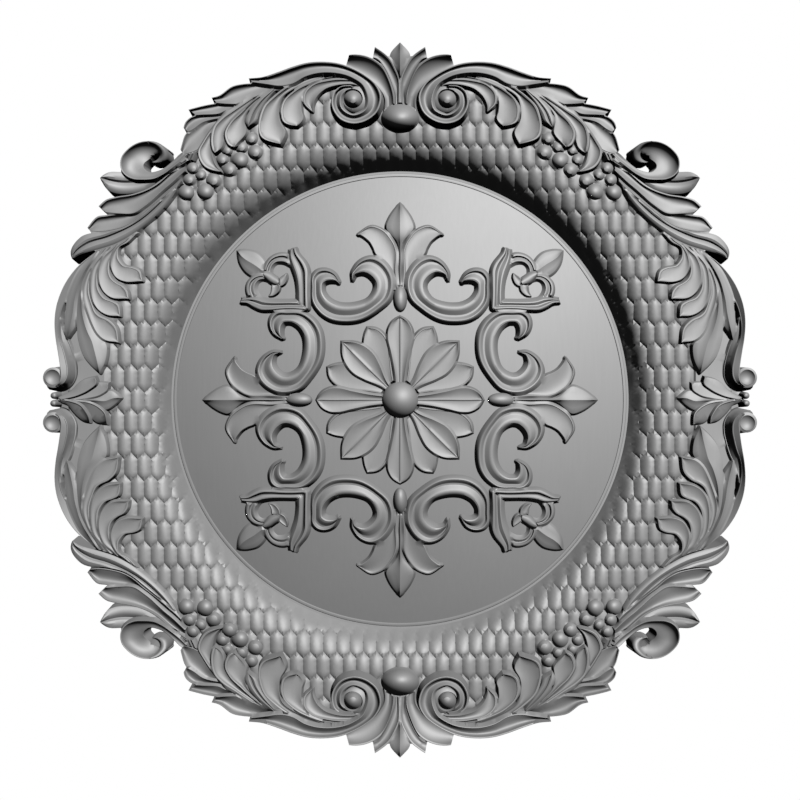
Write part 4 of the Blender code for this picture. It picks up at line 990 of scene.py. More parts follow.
@dataclass(frozen=True)
class Flower:
    """Flower in the middle of the disc; heights are over the disc."""

    back_petal: Form = Form(
        edge_a=(
            (394.4, 379.6), (392.8, 368.8), (391.1, 352.5), (389, 341.7), (384.6, 333.6), (376.5, 327.9),
            (366.7, 326.8),
        ),
        edge_b=((383, 388), (372, 372), (365, 360), (362, 350), (362.4, 342.2), (364, 334), (366.7, 326.8)),
        tops=(6, 6, 7, 7), depth=1.0, over_ground=True, lip_a=1.2, inset=(1.2, 1.2, 1.4), draft=1.8,
    )
    diagonal_petal: Form = Form(
        edge_a=(
            (388, 393), (381, 388), (362.9, 380.2), (353.2, 374.8), (345.6, 366.1), (341.3, 355.2),
            (341, 341),
        ),
        edge_b=(
            (393, 388), (388, 381), (380.2, 362.9), (374.8, 353.2), (366.1, 345.6), (355.2, 341.3),
            (341, 341),
        ),
        tops=(7, 7, 9, 9), **RIBBED_PETAL,
    )
    axis_petal: Form = Form(
        edge_a=((395, 387), (393, 370), (389.5, 352), (386.5, 338), (387.5, 328), (393, 320), (400, 315.5)),
        edge_b=((405, 387), (407, 370), (410.5, 352), (413.5, 338), (412.5, 328), (407, 320), (400, 315.5)),
        tops=(9, 9, 10, 10), **RIBBED_PETAL,
    )
    flower_ball: Ball = Ball((400, 400), 17.2, 17.2, 10, 20, over_ground=True)

    def layers(self) -> list[Layer]:
        """Layers of its forms."""
        return [
            Layer(10, Spread.EIGHTHS, (self.back_petal,)),
            Layer(11, Spread.QUARTERS, (self.diagonal_petal,)),
            Layer(12, Spread.CROSS, (self.axis_petal,)),
            Layer(13, Spread.ONCE, (self.flower_ball,)),
        ]


@dataclass(frozen=True)
class CrossPalmette:
    """Palmettes on the axes with the scrolls beside them; heights are over the disc."""

    palmette_tall: Form = Form(
        edge_a=(
            (398.7, 290), (397.5, 261.3), (396.2, 243.1), (384.6, 227.3), (387.1, 219), (392.9, 209.9),
            (400, 202),
        ),
        edge_b=(
            (401.3, 290), (402.5, 261.3), (403.8, 243.1), (415.4, 227.3), (412.9, 219), (407.1, 209.9),
            (400, 202),
        ),
        tops=(6, 6, 6, 6), section=Cut.KEEL, depth=3.2, over_ground=True, inset=(1.8, 1.8, 2.0), draft=1.9,
    )
    palmette_side: Form = Form(
        edge_a=(
            (399, 290), (397.5, 269.6), (397, 248.1), (392.9, 238.9), (386.3, 230.7), (379.6, 226.5),
            (371.3, 224.9), (356.4, 234.8),
        ),
        edge_b=(
            (394, 290), (388, 274), (380, 262), (374, 253.9), (372.2, 248.9), (368.8, 243.1), (363, 238.1),
            (356.4, 234.8),
        ),
        tops=(6.6, 6.0, 6.6, 6.0), section=Cut.SCOOP, depth=1.1, over_ground=True, lip_a=1.0,
        inset=(1.4, 1.4, 1.4), draft=1.8,
    )
    c_scroll: Form = Form(
        edge_a=(
            (352, 280), (350.6, 272.1), (353.9, 263.8), (361.4, 257.2), (371.3, 254.3), (379.6, 256.4),
            (387.9, 263), (394.6, 274.6), (395.8, 286.2), (392.1, 299.5), (379.6, 311.9), (363, 321.9),
            (346.5, 324.8), (328.2, 321.9), (317.4, 314.4), (310, 302.8), (309.1, 286.2), (310, 274.6),
            (315, 268.8), (324.9, 267), (333.2, 270.5), (339.5, 282),
        ),
        edge_b=(
            (353, 278.5), (356.4, 275.8), (360, 275), (363, 275), (366.5, 276.3), (369.7, 278.7),
            (372, 281.5), (373.2, 284), (373.4, 287.5), (371.5, 292.5), (367, 297.8), (359, 301.2),
            (348, 302.9), (337, 301.6), (330, 297.8), (326, 293), (324.5, 288.5), (325.2, 284.8),
            (328, 283.2), (331.5, 282.8), (334.5, 283), (338.5, 283.7),
        ),
        tops=(8.5, 8.5, 8.5, 8.5), section=Cut.MOULDED, depth=4.4, over_ground=True, swell=1.5,
        inset=(2.4, 1.4, 1.4), draft=2.2,
    )
    teardrop: Ball = Ball((400, 299), 6.2, 12, 7, 12, over_ground=True)

    def layers(self) -> list[Layer]:
        """Layers of its forms."""
        return [
            Layer(14, Spread.CROSS, (self.palmette_tall,)),
            Layer(15, Spread.EIGHTHS, (self.palmette_side, self.c_scroll)),
            Layer(16, Spread.CROSS, (self.teardrop,)),
        ]


@dataclass(frozen=True)
class CornerHeart:
    """Heart with its leaf between two scrolls; heights are over the disc."""

    heart_leaf: Form = Form(
        edge_a=((268, 266), (264.5, 258.5), (258, 252), (250, 249.3), (243, 248.8), (237.2, 250)),
        edge_b=((262, 280), (255, 279), (249, 276.5), (243, 271), (238.5, 262), (237.2, 250)),
        tops=(4, 4, 4, 4), section=Cut.KEEL, depth=2.4, over_ground=True, inset=(1.8, 1.8, 2.0), draft=1.9,
    )
    heart_loop_upper: Form = Form(
        edge_a=((292, 256), (284, 251.8), (277, 252.5), (270, 256), (265, 262), (262.6, 269), (262.5, 275)),
        edge_b=(
            (291, 268), (284.5, 264.5), (281, 263.8), (277.5, 264), (274.5, 266), (272.8, 269),
            (272.6, 273),
        ),
        **HEART_LOOP,
    )
    heart_loop_lower: Form = Form(
        edge_a=((252, 300), (246, 295.5), (244.5, 289), (246, 282), (251, 276.5), (257, 273.8), (265, 273)),
        edge_b=(
            (262, 298), (258.5, 293.5), (257, 289), (257.8, 284.5), (260, 281.8), (263.5, 280.6),
            (268, 282),
        ),
        **HEART_LOOP,
    )
    heart_arm_bottom: Form = Form(
        edge_a=(
            (239.5, 304), (246, 305), (253, 309), (260, 311.8), (270, 312), (281, 311), (294, 310.5),
            (309.5, 311),
        ),
        edge_b=(
            (243, 298.2), (250, 297), (257, 296.5), (263, 298.2), (270, 299.5), (280, 300), (288, 300),
            (296.5, 300),
        ),
        **HEART_ARM,
    )
    heart_arm_right: Form = Form(
        edge_a=(
            (297, 247.2), (298.6, 252), (302.5, 257), (306.5, 262), (309.5, 269), (309.6, 280),
            (309.3, 293), (309.5, 311),
        ),
        edge_b=(
            (289, 251), (288.5, 256), (289, 261), (290.3, 266), (292.5, 272), (295, 280), (296.4, 290),
            (296.5, 300),
        ),
        **HEART_ARM,
    )
    heart_horn_right: Form = Form(
        edge_a=((279, 287.5), (284, 285), (286.9, 280.4), (287.7, 276.2), (286.5, 273.2)),
        edge_b=((277, 282), (278.8, 278.8), (281.8, 276.2), (284.4, 274.6), (286.5, 273.2)),
        inset=(0.6, 0.3, 0.4), **HEART_HORN,
    )
    heart_horn_lower: Form = Form(
        edge_a=((273, 283), (271.4, 286.8), (271.2, 290), (270.4, 293), (268.6, 296.2)),
        edge_b=((280.5, 286), (279.4, 291), (276.4, 294.4), (272.8, 296.4), (268.6, 296.2)),
        inset=(0.3, 0.6, 0.4), **HEART_HORN,
    )
    heart_bud: Form = Form(
        edge_a=((262.8, 273), (264.2, 271.3), (269, 271.6), (274.5, 275), (279, 279), (279.6, 284)),
        edge_b=((263, 274), (264, 277), (267, 281.5), (271, 284.5), (275.5, 285.4), (279.6, 284)),
        tops=(9, 9, 9.5, 9.5), section=Cut.ROLL, depth=4.0, over_ground=True, inset=(0.2, 0.2, 0.2),
        draft=0.9,
    )

    def layers(self) -> list[Layer]:
        """Layers of its forms."""
        return [
            Layer(17, Spread.QUARTERS, (
                self.heart_leaf, self.heart_loop_upper, self.heart_loop_lower, self.heart_arm_bottom,
                self.heart_arm_right,
            )),
            Layer(18, Spread.QUARTERS, (self.heart_horn_right, self.heart_horn_lower, self.heart_bud)),
        ]


@dataclass(frozen=True)
class Scales:
    """Fish scales on the ring: upright six-sided pillows in rows, in mm of the plan.

    Args:
        pitch: mm between columns.
        row: mm between rows.
        shoulder: share of a row from a scale's middle to the ends of its straight sides.
        phases: mm by which even and odd rows stand to the right of the middle.
        lift: mm by which the row in the middle stands above it.
        rise: height in mm of a pillow over the cuts around it.
        start: mm from the middle at which the scales begin.
        full_start: mm from the middle at which they have their whole height.
        full_end: mm from the middle up to which they have it.
        end: mm from the middle at which they end.
        rings: shares of a scale's size at which it has points.
        stations: points along its lower, its straight and its upper side.
        fullness: power of the pillow's profile, lower for a fuller one.
    """

    pitch: float = 11.03
    row: float = 18.42
    shoulder: float = 0.338
    phases: tuple[float, float] = (2.1, -3.41)
    lift: float = -0.25
    rise: float = 2.3
    start: float = 194.0
    full_start: float = 203.5
    full_end: float = 262.0
    end: float = 270.0
    rings: tuple[float, ...] = (0.93, 0.82, 0.64, 0.4, 0.18)
    stations: tuple[int, int, int] = (5, 8, 5)
    fullness: float = 0.6

    def corners(self) -> np.ndarray:
        """Outline of a scale from its middle, with a point half way along each of its six sides."""
        half = self.pitch / 2
        low = self.row * self.shoulder
        tip = self.row - low
        between = (tip + low) / 2
        run = [(0.0, tip), (half / 2, between), (half, low), (half, 0.0)]
        run += [(half, -low), (half / 2, -between)]
        return np.array(run + [(-x, -z) for x, z in run])

    def left_sides(self) -> np.ndarray:
        """Points along the three sides on a scale's left, which is all that its neighbours leave to it."""
        bottom, low, high, top = self.corners()[[6, 8, 10, 0]]
        runs = zip((bottom, low, high), (low, high, top), self.stations)
        return np.concatenate([a + (b - a) * np.arange(n)[:, None] / n for a, b, n in runs] + [top[None]])

    def middles(self) -> np.ndarray:
        """Places of the middles of all scales on the ring."""
        rows, columns = int(self.end / self.row) + 2, int(self.end / self.pitch) + 2
        places = np.array([
            (self.phases[row % 2] + column * self.pitch, self.lift + row * self.row)
            for row in range(-rows, rows + 1)
            for column in range(-columns, columns + 1)
        ])
        radius = np.hypot(places[:, 0], places[:, 1])
        return places[(radius > self.start - self.row / 2) & (radius < self.end)]

    def height(self, x: np.ndarray, z: np.ndarray) -> np.ndarray:
        """Height of the scales over the bare ground, 0 in the cuts between them."""
        best = 0.0 * x
        up = (z - self.lift) / self.row
        for parity in (0, 1):
            row = 2 * np.round((up - parity) / 2) + parity
            beside = (x - self.phases[parity]) % self.pitch
            share = np.minimum(beside, self.pitch - beside) / (self.pitch / 2)
            reach = 1 - self.shoulder - (1 - 2 * self.shoulder) * share
            along = np.minimum(1.0, np.abs(up - row) / reach)
            pillow = (1 - share**2) ** self.fullness * (1 - along**3) ** self.fullness
            best = np.maximum(best, pillow)
        radius = np.hypot(x, z)
        inner = np.clip((radius - self.start) / (self.full_start - self.start), 0.0, 1.0)
        outer = np.clip((self.end - radius) / (self.end - self.full_end), 0.0, 1.0)
        return self.rise * best * np.minimum(inner, outer)


def border_of(faces: list) -> list[tuple[int, int]]:
    """Edges that only one face has, sorted, with that face on their left."""
    runs = {(a, b) for face in faces for a, b in zip(face, face[1:] + face[:1])}
    return sorted((a, b) for a, b in runs if (b, a) not in runs)


class Relief:
    """All sheets in order over the ground, and the points and lines of the skin that shows of them.

    Its constants, in mm unless they are counts or shares:
        BIN: size of the squares in which the sheets are looked up.
        TOUCH: gap below which a place is on a sheet and not on its side.
        GAP: height below which a corner may stand in an open gap.
        MERGE: distance below which points become one.
        HALVINGS: steps in the search for the last point of a line that shows.
        FOOT_STEP: distance between places tried along a foot, and FOOT_HALVINGS the steps of that search.
        FOOT_APART: least distance of a point that is added to a foot.
        SHARP: length of the sum of two directions below which a corner of a foot is cut off.
        STRETCH: most that a corner of a foot is moved out, in drafts, and LEAST_COSINE its least cosine.
        CLEAR: share of the draft that a foot keeps from its own sheet.
        BEAD: places of the points across the bead, in half widths.
        DISC_SIDES, RING_SIDES: sides of the lines around the disc and at the start of the ring.
        PLAIN_END, PLAIN_STEP: radius up to which the plain ground has points, and their distance.
        SLOPE_GAP: distance of the first scale points from the start of the ring.
    """

    BIN = 12.0
    TOUCH = 1e-3
    GAP = 0.5
    MERGE = 0.02
    HALVINGS = 12
    FOOT_STEP = 1.0
    FOOT_HALVINGS = 7
    FOOT_APART = 0.1
    SHARP = 0.3
    STRETCH = 1.3
    LEAST_COSINE = 0.5
    CLEAR = 0.8
    BEAD = (1.15, 1.0, 0.7, 0.0, -0.7, -1.0, -1.4)
    DISC_SIDES = 240
    RING_SIDES = 360
    PLAIN_END = 310.0
    PLAIN_STEP = 6.0
    SLOPE_GAP = 0.6

    def __init__(self, sheets: list[Sheet], scales: Scales) -> None:
        """Sorts the sheets by place."""
        self.sheets = sheets
        self.scales = scales
        self.bins: dict = {}
        for index, sheet in enumerate(sheets):
            low = np.floor(sheet.low / self.BIN).astype(int)
            high = np.floor(sheet.high / self.BIN).astype(int)
            for i in range(low[0], high[0] + 1):
                for j in range(low[1], high[1] + 1):
                    self.bins.setdefault((i, j), []).append(index)
        self.points: list = []
        self.edges: list = []

    def near(self, x: float, z: float) -> list[int]:
        """Numbers of the sheets that may reach this place, from back to front."""
        return self.bins.get((math.floor(x / self.BIN), math.floor(z / self.BIN)), [])

    def surface(self, x: float, z: float, below: int) -> tuple[float, tuple]:
        """Skin made by the sheets before one of them.

        Args:
            x: mm to the right.
            z: mm up.
            below: number of the first sheet that doesn't count.

        Returns:
            The skin's height in mm, and a label of what makes it there.
        """
        for index in reversed(self.near(x, z)):
            if index >= below:
                continue
            found = self.sheets[index].reach(x, z)
            if found is None:
                continue
            height, gap = found
            if gap < self.TOUCH:
                return height, (index, True)
            under, _ = self.surface(x, z, index)
            return height + (under - height) * gap / self.sheets[index].draft, (index, False)
        if GROUND.reaches(x, z):
            place = np.float64(x), np.float64(z)
            return float(GROUND.height(*place) + self.scales.height(*place)), (-1, True)
        return 0.0, (-2, False)

    def shows(self, x: float, z: float, index: int) -> bool:
        """Whether no later sheet or its side covers this place."""
        return not any(self.sheets[k].covers(x, z) for k in self.near(x, z) if k > index)

    def border(self, seen: tuple, hidden: tuple, index: int) -> tuple:
        """The last point that shows on the way from a seen point to a hidden one."""
        low, high = 0.0, 1.0
        for _ in range(self.HALVINGS):
            middle = (low + high) / 2
            place = [a + (b - a) * middle for a, b in zip(seen, hidden)]
            if self.shows(place[0], place[1], index):
                low = middle
            else:
                high = middle
        return tuple(a + (b - a) * low for a, b in zip(seen, hidden))

    def add_point(self, x: float, z: float, height: float) -> int:
        """Adds a point of the skin and gives its number."""
        self.points.append((x, z, height))
        return len(self.points) - 1

    def add_line(self, line: list, index: int) -> None:
        """Adds what shows of a line as edges of the skin.

        Args:
            line: points x, z, height.
            index: number of the sheet that the line is on.
        """
        last, last_point = None, None
        for point in line:
            seen = self.shows(point[0], point[1], index)
            number = self.add_point(*point) if seen else None
            if last_point is not None:
                if seen and last is not None:
                    self.edges.append((last, number))
                elif seen or last is not None:
                    inner, outer = (point, last_point) if seen else (last_point, point)
                    end = self.add_point(*self.border(inner, outer, index))
                    self.edges.append((number if seen else last, end))
            last, last_point = number, point

    def foot_line(self, sheet: Sheet, index: int) -> list:
        """Foot of a sheet's side.

        Args:
            sheet: the sheet.
            index: its number.

        Returns:
            A closed line of points x, z, height of what is beneath.
        """
        ring = sheet.points[sheet.outline][:, :2]
        after = np.roll(ring, -1, axis=0)
        if (ring[:, 0] * after[:, 1] - after[:, 0] * ring[:, 1]).sum() < 0:
            ring = ring[::-1]
        into = ring - np.roll(ring, 1, axis=0)
        into /= np.linalg.norm(into, axis=1, keepdims=True) + GUARD
        away = np.roll(into, -1, axis=0)
        bend = into[:, 0] * away[:, 1] - into[:, 1] * away[:, 0]
        turn = (into * away).sum(axis=1)
        middle = into + away
        places = []
        for k, corner in enumerate(ring):
            size = float(np.linalg.norm(middle[k]))
            if turn[k] < 0.0 or size < self.SHARP:
                steps = [into[k], into[k] - away[k], away[k]] if bend[k] > 0 else [into[k], away[k]]
                outs = [np.array([into[k][1], -into[k][0]]), np.array([away[k][1], -away[k][0]])]
                if len(steps) == 3:
                    outs.insert(1, steps[1] / (np.linalg.norm(steps[1]) + GUARD))
                places += [corner + sheet.draft * out for out in outs]
                continue
            stretch = min(self.STRETCH, 1.0 / max(self.LEAST_COSINE, math.sqrt((1 + turn[k]) / 2)))
            places.append(corner + sheet.draft * stretch * np.array([middle[k][1], -middle[k][0]]) / size)
        free = []
        for place in places:
            found = sheet.reach(place[0], place[1])
            if found is None or found[1] > self.CLEAR * sheet.draft:
                free.append(place)
        if len(free) < 3:
            return []
        run = []
        for start, end in zip(free, free[1:] + free[:1]):
            run += self.steps_between(start, end, index)
        return run + run[:1]

    def steps_between(self, start: np.ndarray, end: np.ndarray, index: int) -> list:
        """The start point and every point before the end at which another form begins underneath."""
        height, label = self.surface(start[0], start[1], index)
        out = [(start[0], start[1], height)]
        pieces = max(1, int(np.linalg.norm(end - start) / self.FOOT_STEP))
        for k in range(1, pieces + 1):
            place = start + (end - start) * k / pieces
            _, here = self.surface(place[0], place[1], index)
            if here == label:
                continue
            low, high = (k - 1) / pieces, k / pieces
            for _ in range(self.FOOT_HALVINGS):
                middle = (low + high) / 2
                trial = start + (end - start) * middle
                if self.surface(trial[0], trial[1], index)[1] == label:
                    low = middle
                else:
                    high = middle
            crossing = start + (end - start) * low
            if min(np.linalg.norm(crossing - start), np.linalg.norm(crossing - end)) > self.FOOT_APART:
                out.append((crossing[0], crossing[1], self.surface(crossing[0], crossing[1], index)[0]))
            label = here
        return out

    def add_sheets(self) -> None:
        """Adds the outline, the foot and the inner lines of every sheet where they show."""
        for index, sheet in enumerate(self.sheets):
            places = sheet.points.tolist()
            ring = [tuple(places[i]) for i in sheet.outline]
            self.add_line(ring + ring[:1], index)
            self.add_line(self.foot_line(sheet, index), index)
            for line in sheet.lines:
                self.add_line([tuple(places[i]) for i in line], index)
            used = set(sheet.outline) | {i for line in sheet.lines for i in line}
            for number, point in enumerate(places):
                if number not in used and self.shows(point[0], point[1], index):
                    self.add_point(*point)

    def add_disc(self, spacing: float = 7.0) -> None:
        """Adds the disc and its bead as rings of points."""
        for share in self.BEAD:
            radius = GROUND.disc_radius + share * GROUND.bead_half_width
            turns = 2 * math.pi * np.arange(self.DISC_SIDES + 1) / self.DISC_SIDES
            x, z = radius * np.cos(turns), radius * np.sin(turns)
            self.add_line(list(zip(x.tolist(), z.tolist(), GROUND.height(x, z).tolist())), -1)
        for ring in range(1, int(GROUND.disc_radius / spacing)):
            radius = ring * spacing
            turns = 2 * math.pi * (np.arange(6 * ring) + 0.5 * (ring % 2)) / (6 * ring)
            self.add_free(radius * np.cos(turns), radius * np.sin(turns))

    def add_free(self, x: np.ndarray, z: np.ndarray) -> None:
        """Adds points of the ground with its scales where they show."""
        heights = GROUND.height(x, z) + self.scales.height(x, z)
        for point in zip(x.tolist(), z.tolist(), heights.tolist()):
            if GROUND.reaches(point[0], point[1]) and self.shows(point[0], point[1], -1):
                self.add_point(*point)

    def add_ring(self) -> None:
        """Adds the ring's edges and its scales."""
        scales = self.scales
        turns = 2 * math.pi * np.arange(self.RING_SIDES + 1) / self.RING_SIDES
        x, z = GROUND.slope_start * np.cos(turns), GROUND.slope_start * np.sin(turns)
        self.add_line(list(zip(x.tolist(), z.tolist(), [GROUND.disc_edge] * len(turns))), -1)
        for radius in np.arange(scales.end, self.PLAIN_END, self.PLAIN_STEP):
            self.add_free(radius * np.cos(turns[::2]), radius * np.sin(turns[::2]))
        sides, outline = scales.left_sides(), scales.corners()
        inner = np.concatenate([outline * share for share in scales.rings] + [np.zeros((1, 2))])
        least = scales.start + self.SLOPE_GAP
        for middle in scales.middles():
            run: list = []
            places = middle + sides
            heights = GROUND.height(places[:, 0], places[:, 1])
            for point in [*zip(places[:, 0].tolist(), places[:, 1].tolist(), heights.tolist()), None]:
                if point and math.hypot(point[0], point[1]) > least and GROUND.reaches(point[0], point[1]):
                    run.append(point)
                elif run:
                    self.add_line(run, -1)
                    run = []
            places = middle + inner
            places = places[np.hypot(places[:, 0], places[:, 1]) > least]
            self.add_free(places[:, 0], places[:, 1])

    def skin(self) -> tuple[list, list]:
        """Points x, z, height and triangles of the front."""
        flat = [Vector(point[:2]) for point in self.points]
        found, _, faces, sources, _, _ = delaunay_2d_cdt(flat, self.edges, [], 0, self.MERGE)
        points = []
        for place, source in zip(found, sources):
            if source:
                height = max(self.points[i][2] for i in source)
            else:
                height = self.surface(place[0], place[1], len(self.sheets))[0]
            points.append((place[0], place[1], height))
        return points, self.carried(points, faces)

    def carried(self, points: list, faces: list) -> list:
        """Faces that a form or the ground carries.

        A face across an open gap between two forms is left out, unless the front would then hang
        together at a raised point only.

        Args:
            points: x, z and height in mm.
            faces: triangles of point numbers.

        Returns:
            The faces that stay.
        """
        solid, gaps = [], []
        for face in faces:
            corners = [points[i] for i in face]
            heights = [corner[2] for corner in corners]
            if max(heights) <= Body.FLAT:
                continue
            x, z = (sum(corner[k] for corner in corners) / 3 for k in (0, 1))
            bare = min(heights) < self.GAP and self.surface(x, z, len(self.sheets))[0] <= Body.FLAT
            (gaps if bare else solid).append(tuple(face))
        back = gaps
        while back:
            starts = Counter(a for a, _ in border_of(solid) if points[a][2] > Body.FLAT)
            pinched = {number for number, count in starts.items() if count > 1}
            back = [face for face in gaps if pinched & set(face)]
            solid += back
            gaps = [face for face in gaps if not pinched & set(face)]
        return solid


class Body:
    """The front closed by sides and a flat back.

    Its constants, in mm:
        FLAT: height up to which a point lies in the plane of the back.
        FOLD_LIFT: height to which a fold in that plane is lifted.
    """

    FLAT = 0.01
    FOLD_LIFT = 0.5

    def __init__(self, points: list, faces: list) -> None:
        """Keeps the front and closes it."""
        self.points = list(points)
        self.faces = list(faces)
        self.lift_folds()
        self.close()

    def lift_folds(self) -> None:
        """Splits each inner edge that lies in the plane of the back and lifts it off."""
        sides = {}
        for number, face in enumerate(self.faces):
            for a, b in zip(face, face[1:] + face[:1]):
                sides[(a, b)] = number
        for (a, b), number in sides.items():
            other = sides.get((b, a))
            if a > b or other is None or max(self.points[a][2], self.points[b][2]) > self.FLAT:
                continue
            middle = len(self.points)
            x, z = ((self.points[a][k] + self.points[b][k]) / 2 for k in (0, 1))
            self.points.append((x, z, self.FOLD_LIFT))
            for start, end, owner in ((a, b, number), (b, a, other)):
                tip = next(i for i in self.faces[owner] if i not in (start, end))
                self.faces[owner] = (start, middle, tip)
                self.faces.append((middle, end, tip))

    def close(self) -> None:
        """Adds sides where the front ends above the back, and the back."""
        border = border_of(self.faces)
        floor = {}
        for number in [number for edge in border for number in edge]:
            if number in floor:
                continue
            x, z, height = self.points[number]
            if height <= self.FLAT:
                self.points[number] = (x, z, 0.0)
                floor[number] = number
            else:
                floor[number] = len(self.points)
                self.points.append((x, z, 0.0))
        for a, b in border:
            corners = list(dict.fromkeys((b, a, floor[a], floor[b])))
            if len(corners) > 2:
                self.faces.append(tuple(corners[:3]))
            if len(corners) > 3:
                self.faces.append((corners[0], corners[2], corners[3]))
        rim = sorted(set(floor.values()))
        place_of = {number: k for k, number in enumerate(rim)}
        edges = [(place_of[floor[a]], place_of[floor[b]]) for a, b in border]
        flat = [Vector(self.points[number][:2]) for number in rim]
        _, _, back, sources, _, _ = delaunay_2d_cdt(flat, edges, [], 1, TINY)
        ends = np.array([[self.points[floor[a]][:2], self.points[floor[b]][:2]] for a, b in border])
        for face in back:
            numbers = [rim[sources[i][0]] for i in face]
            if self.inside(np.mean([self.points[number][:2] for number in numbers], axis=0), ends):
                self.faces.append((numbers[0], numbers[2], numbers[1]))

    @staticmethod
    def inside(place: np.ndarray, ends: np.ndarray) -> bool:
        """Whether a place lies within closed lines given as pairs of ends."""
        start, end = ends[:, 0], ends[:, 1]
        spans = (start[:, 1] > place[1]) != (end[:, 1] > place[1])
        start, end = start[spans], end[spans]
        span = end - start
        cross = start[:, 0] + (place[1] - start[:, 1]) * span[:, 0] / span[:, 1]
        return bool((cross > place[0]).sum() % 2)


class Socket:
    """A shader value with arithmetic: each expression adds its Math nodes."""

    def __init__(self, shop: "Shop", end: Any) -> None:
        """Keeps the node tree's shop and the socket or number."""
        self.shop = shop
        self.end = end

    def math(self, operation: str, *values: Any) -> "Socket":
        """Result of a Math node with these inputs."""
        node = self.shop.node("ShaderNodeMath", {"operation": operation}, dict(enumerate(values)))
        return Socket(self.shop, node.outputs[0])

    def __add__(self, other: Any) -> "Socket":
        """Sum."""
        return self.math("ADD", self, other)

    def __radd__(self, other: Any) -> "Socket":
        """Sum with a number first."""
        return self.math("ADD", other, self)

    def __mul__(self, other: Any) -> "Socket":
        """Product."""
        return self.math("MULTIPLY", self, other)

    def __rmul__(self, other: Any) -> "Socket":
        """Product with a number first."""
        return self.math("MULTIPLY", other, self)

    def clamped(self, low: float, high: float) -> "Socket":
        """The value kept between two limits."""
        return self.math("MINIMUM", self.math("MAXIMUM", self, low), high)


class Shop:
    """Makes the nodes of one material."""

    def __init__(self, name: str) -> None:
        """Starts an empty material."""
        self.material = bpy.data.materials.new(name)
        self.material.use_nodes = True
        self.tree = self.material.node_tree
        self.shader = self.tree.nodes["Principled BSDF"]

    def node(self, kind: str, settings: dict, sockets: dict) -> bpy.types.Node:
        """Adds a node.

        Args:
            kind: type of the node.
            settings: its own settings, such as an operation.
            sockets: values or links of its inputs, by name or number.

        Returns:
            The node.
        """
        node = self.tree.nodes.new(kind)
        for name, value in settings.items():
            setattr(node, name, value)
        for name, value in sockets.items():
            self.feed(node.inputs[name], value)
        return node

    def feed(self, socket: bpy.types.NodeSocket, value: Any) -> None:
        """Sets or links one input."""
        value = value.end if isinstance(value, Socket) else value
        if isinstance(value, bpy.types.NodeSocket):
            self.tree.links.new(value, socket)
        else:
            socket.default_value = value

    def ramp(self, value: Socket, stops: tuple) -> bpy.types.NodeSocket:
        """Colour ramp of greys: stops are (position, grey)."""
        node = self.node("ShaderNodeValToRGB", {}, {"Fac": value})
        elements = node.color_ramp.elements
        while len(elements) < len(stops):
            elements.new(0.5)
        for element, (position, grey) in zip(elements, stops):
            element.position = position
            element.color = (grey, grey, grey, 1.0)
        return node.outputs["Color"]


@dataclass(frozen=True)
class PrimedWood:
    """Carved wood under a grey satin primer.

    Args:
        grey: albedo on open faces.
        metallic: metallic share of the shader, fitted to the tones.
        roughness: roughness on open faces.
        unevenness: how much the streaks and the mist vary the grey and the roughness.
        mist_scale: clouds of unevenness per metre.
        grain: waves of wood grain per metre across the grain.
        grain_stretch: waves along the grain per wave across it.
        grain_depth: mm of the grain's bump.
        speck: specks per metre of the sprayed primer.
        speck_depth: mm of their bump.
    """

    grey: float = 0.45
    metallic: float = 0.53
    roughness: float = 0.68
    unevenness: float = 0.06
    mist_scale: float = 9.0
    grain: float = 420.0
    grain_stretch: float = 0.06
    grain_depth: float = 0.05
    speck: float = 1800.0
    speck_depth: float = 0.012

    def dress(self, piece: bpy.types.Object) -> None:
        """Gives the piece the finish."""
        shop = Shop("grey_primed_wood")
        place = shop.node("ShaderNodeTexCoord", {}, {}).outputs["Object"]
        scale = (1.0, 1.0, self.grain_stretch)
        along = shop.node("ShaderNodeMapping", {}, {"Vector": place, "Scale": scale}).outputs[0]
        grain = shop.node("ShaderNodeTexNoise", {}, {"Vector": along, "Scale": self.grain, "Detail": 4.0})
        clouds = {"Vector": place, "Scale": self.mist_scale, "Detail": 3.0}
        cloud = shop.node("ShaderNodeTexNoise", {}, clouds)
        speck = shop.node("ShaderNodeTexNoise", {}, {"Vector": place, "Scale": self.speck, "Detail": 2.0})
        streak = Socket(shop, grain.outputs["Fac"])
        mist = Socket(shop, cloud.outputs["Fac"])
        dust = Socket(shop, speck.outputs["Fac"])
        shade = ((1.0 - self.unevenness) + streak * self.unevenness + mist * self.unevenness) * self.grey
        shop.feed(shop.shader.inputs["Base Color"], shop.ramp(shade, ((0.0, 0.0), (1.0, 1.0))))
        rough = (self.roughness - self.unevenness / 2) + mist * self.unevenness
        shop.feed(shop.shader.inputs["Roughness"], rough.clamped(0.0, 1.0))
        shop.shader.inputs["Metallic"].default_value = self.metallic
        bumps = streak * (self.grain_depth / 1000) + dust * (self.speck_depth / 1000)
        bump = shop.node("ShaderNodeBump", {}, {"Height": bumps, "Distance": 1.0, "Strength": 0.5})
        shop.feed(shop.shader.inputs["Normal"], bump.outputs["Normal"])
        piece.data.materials.clear()
        piece.data.materials.append(shop.material)


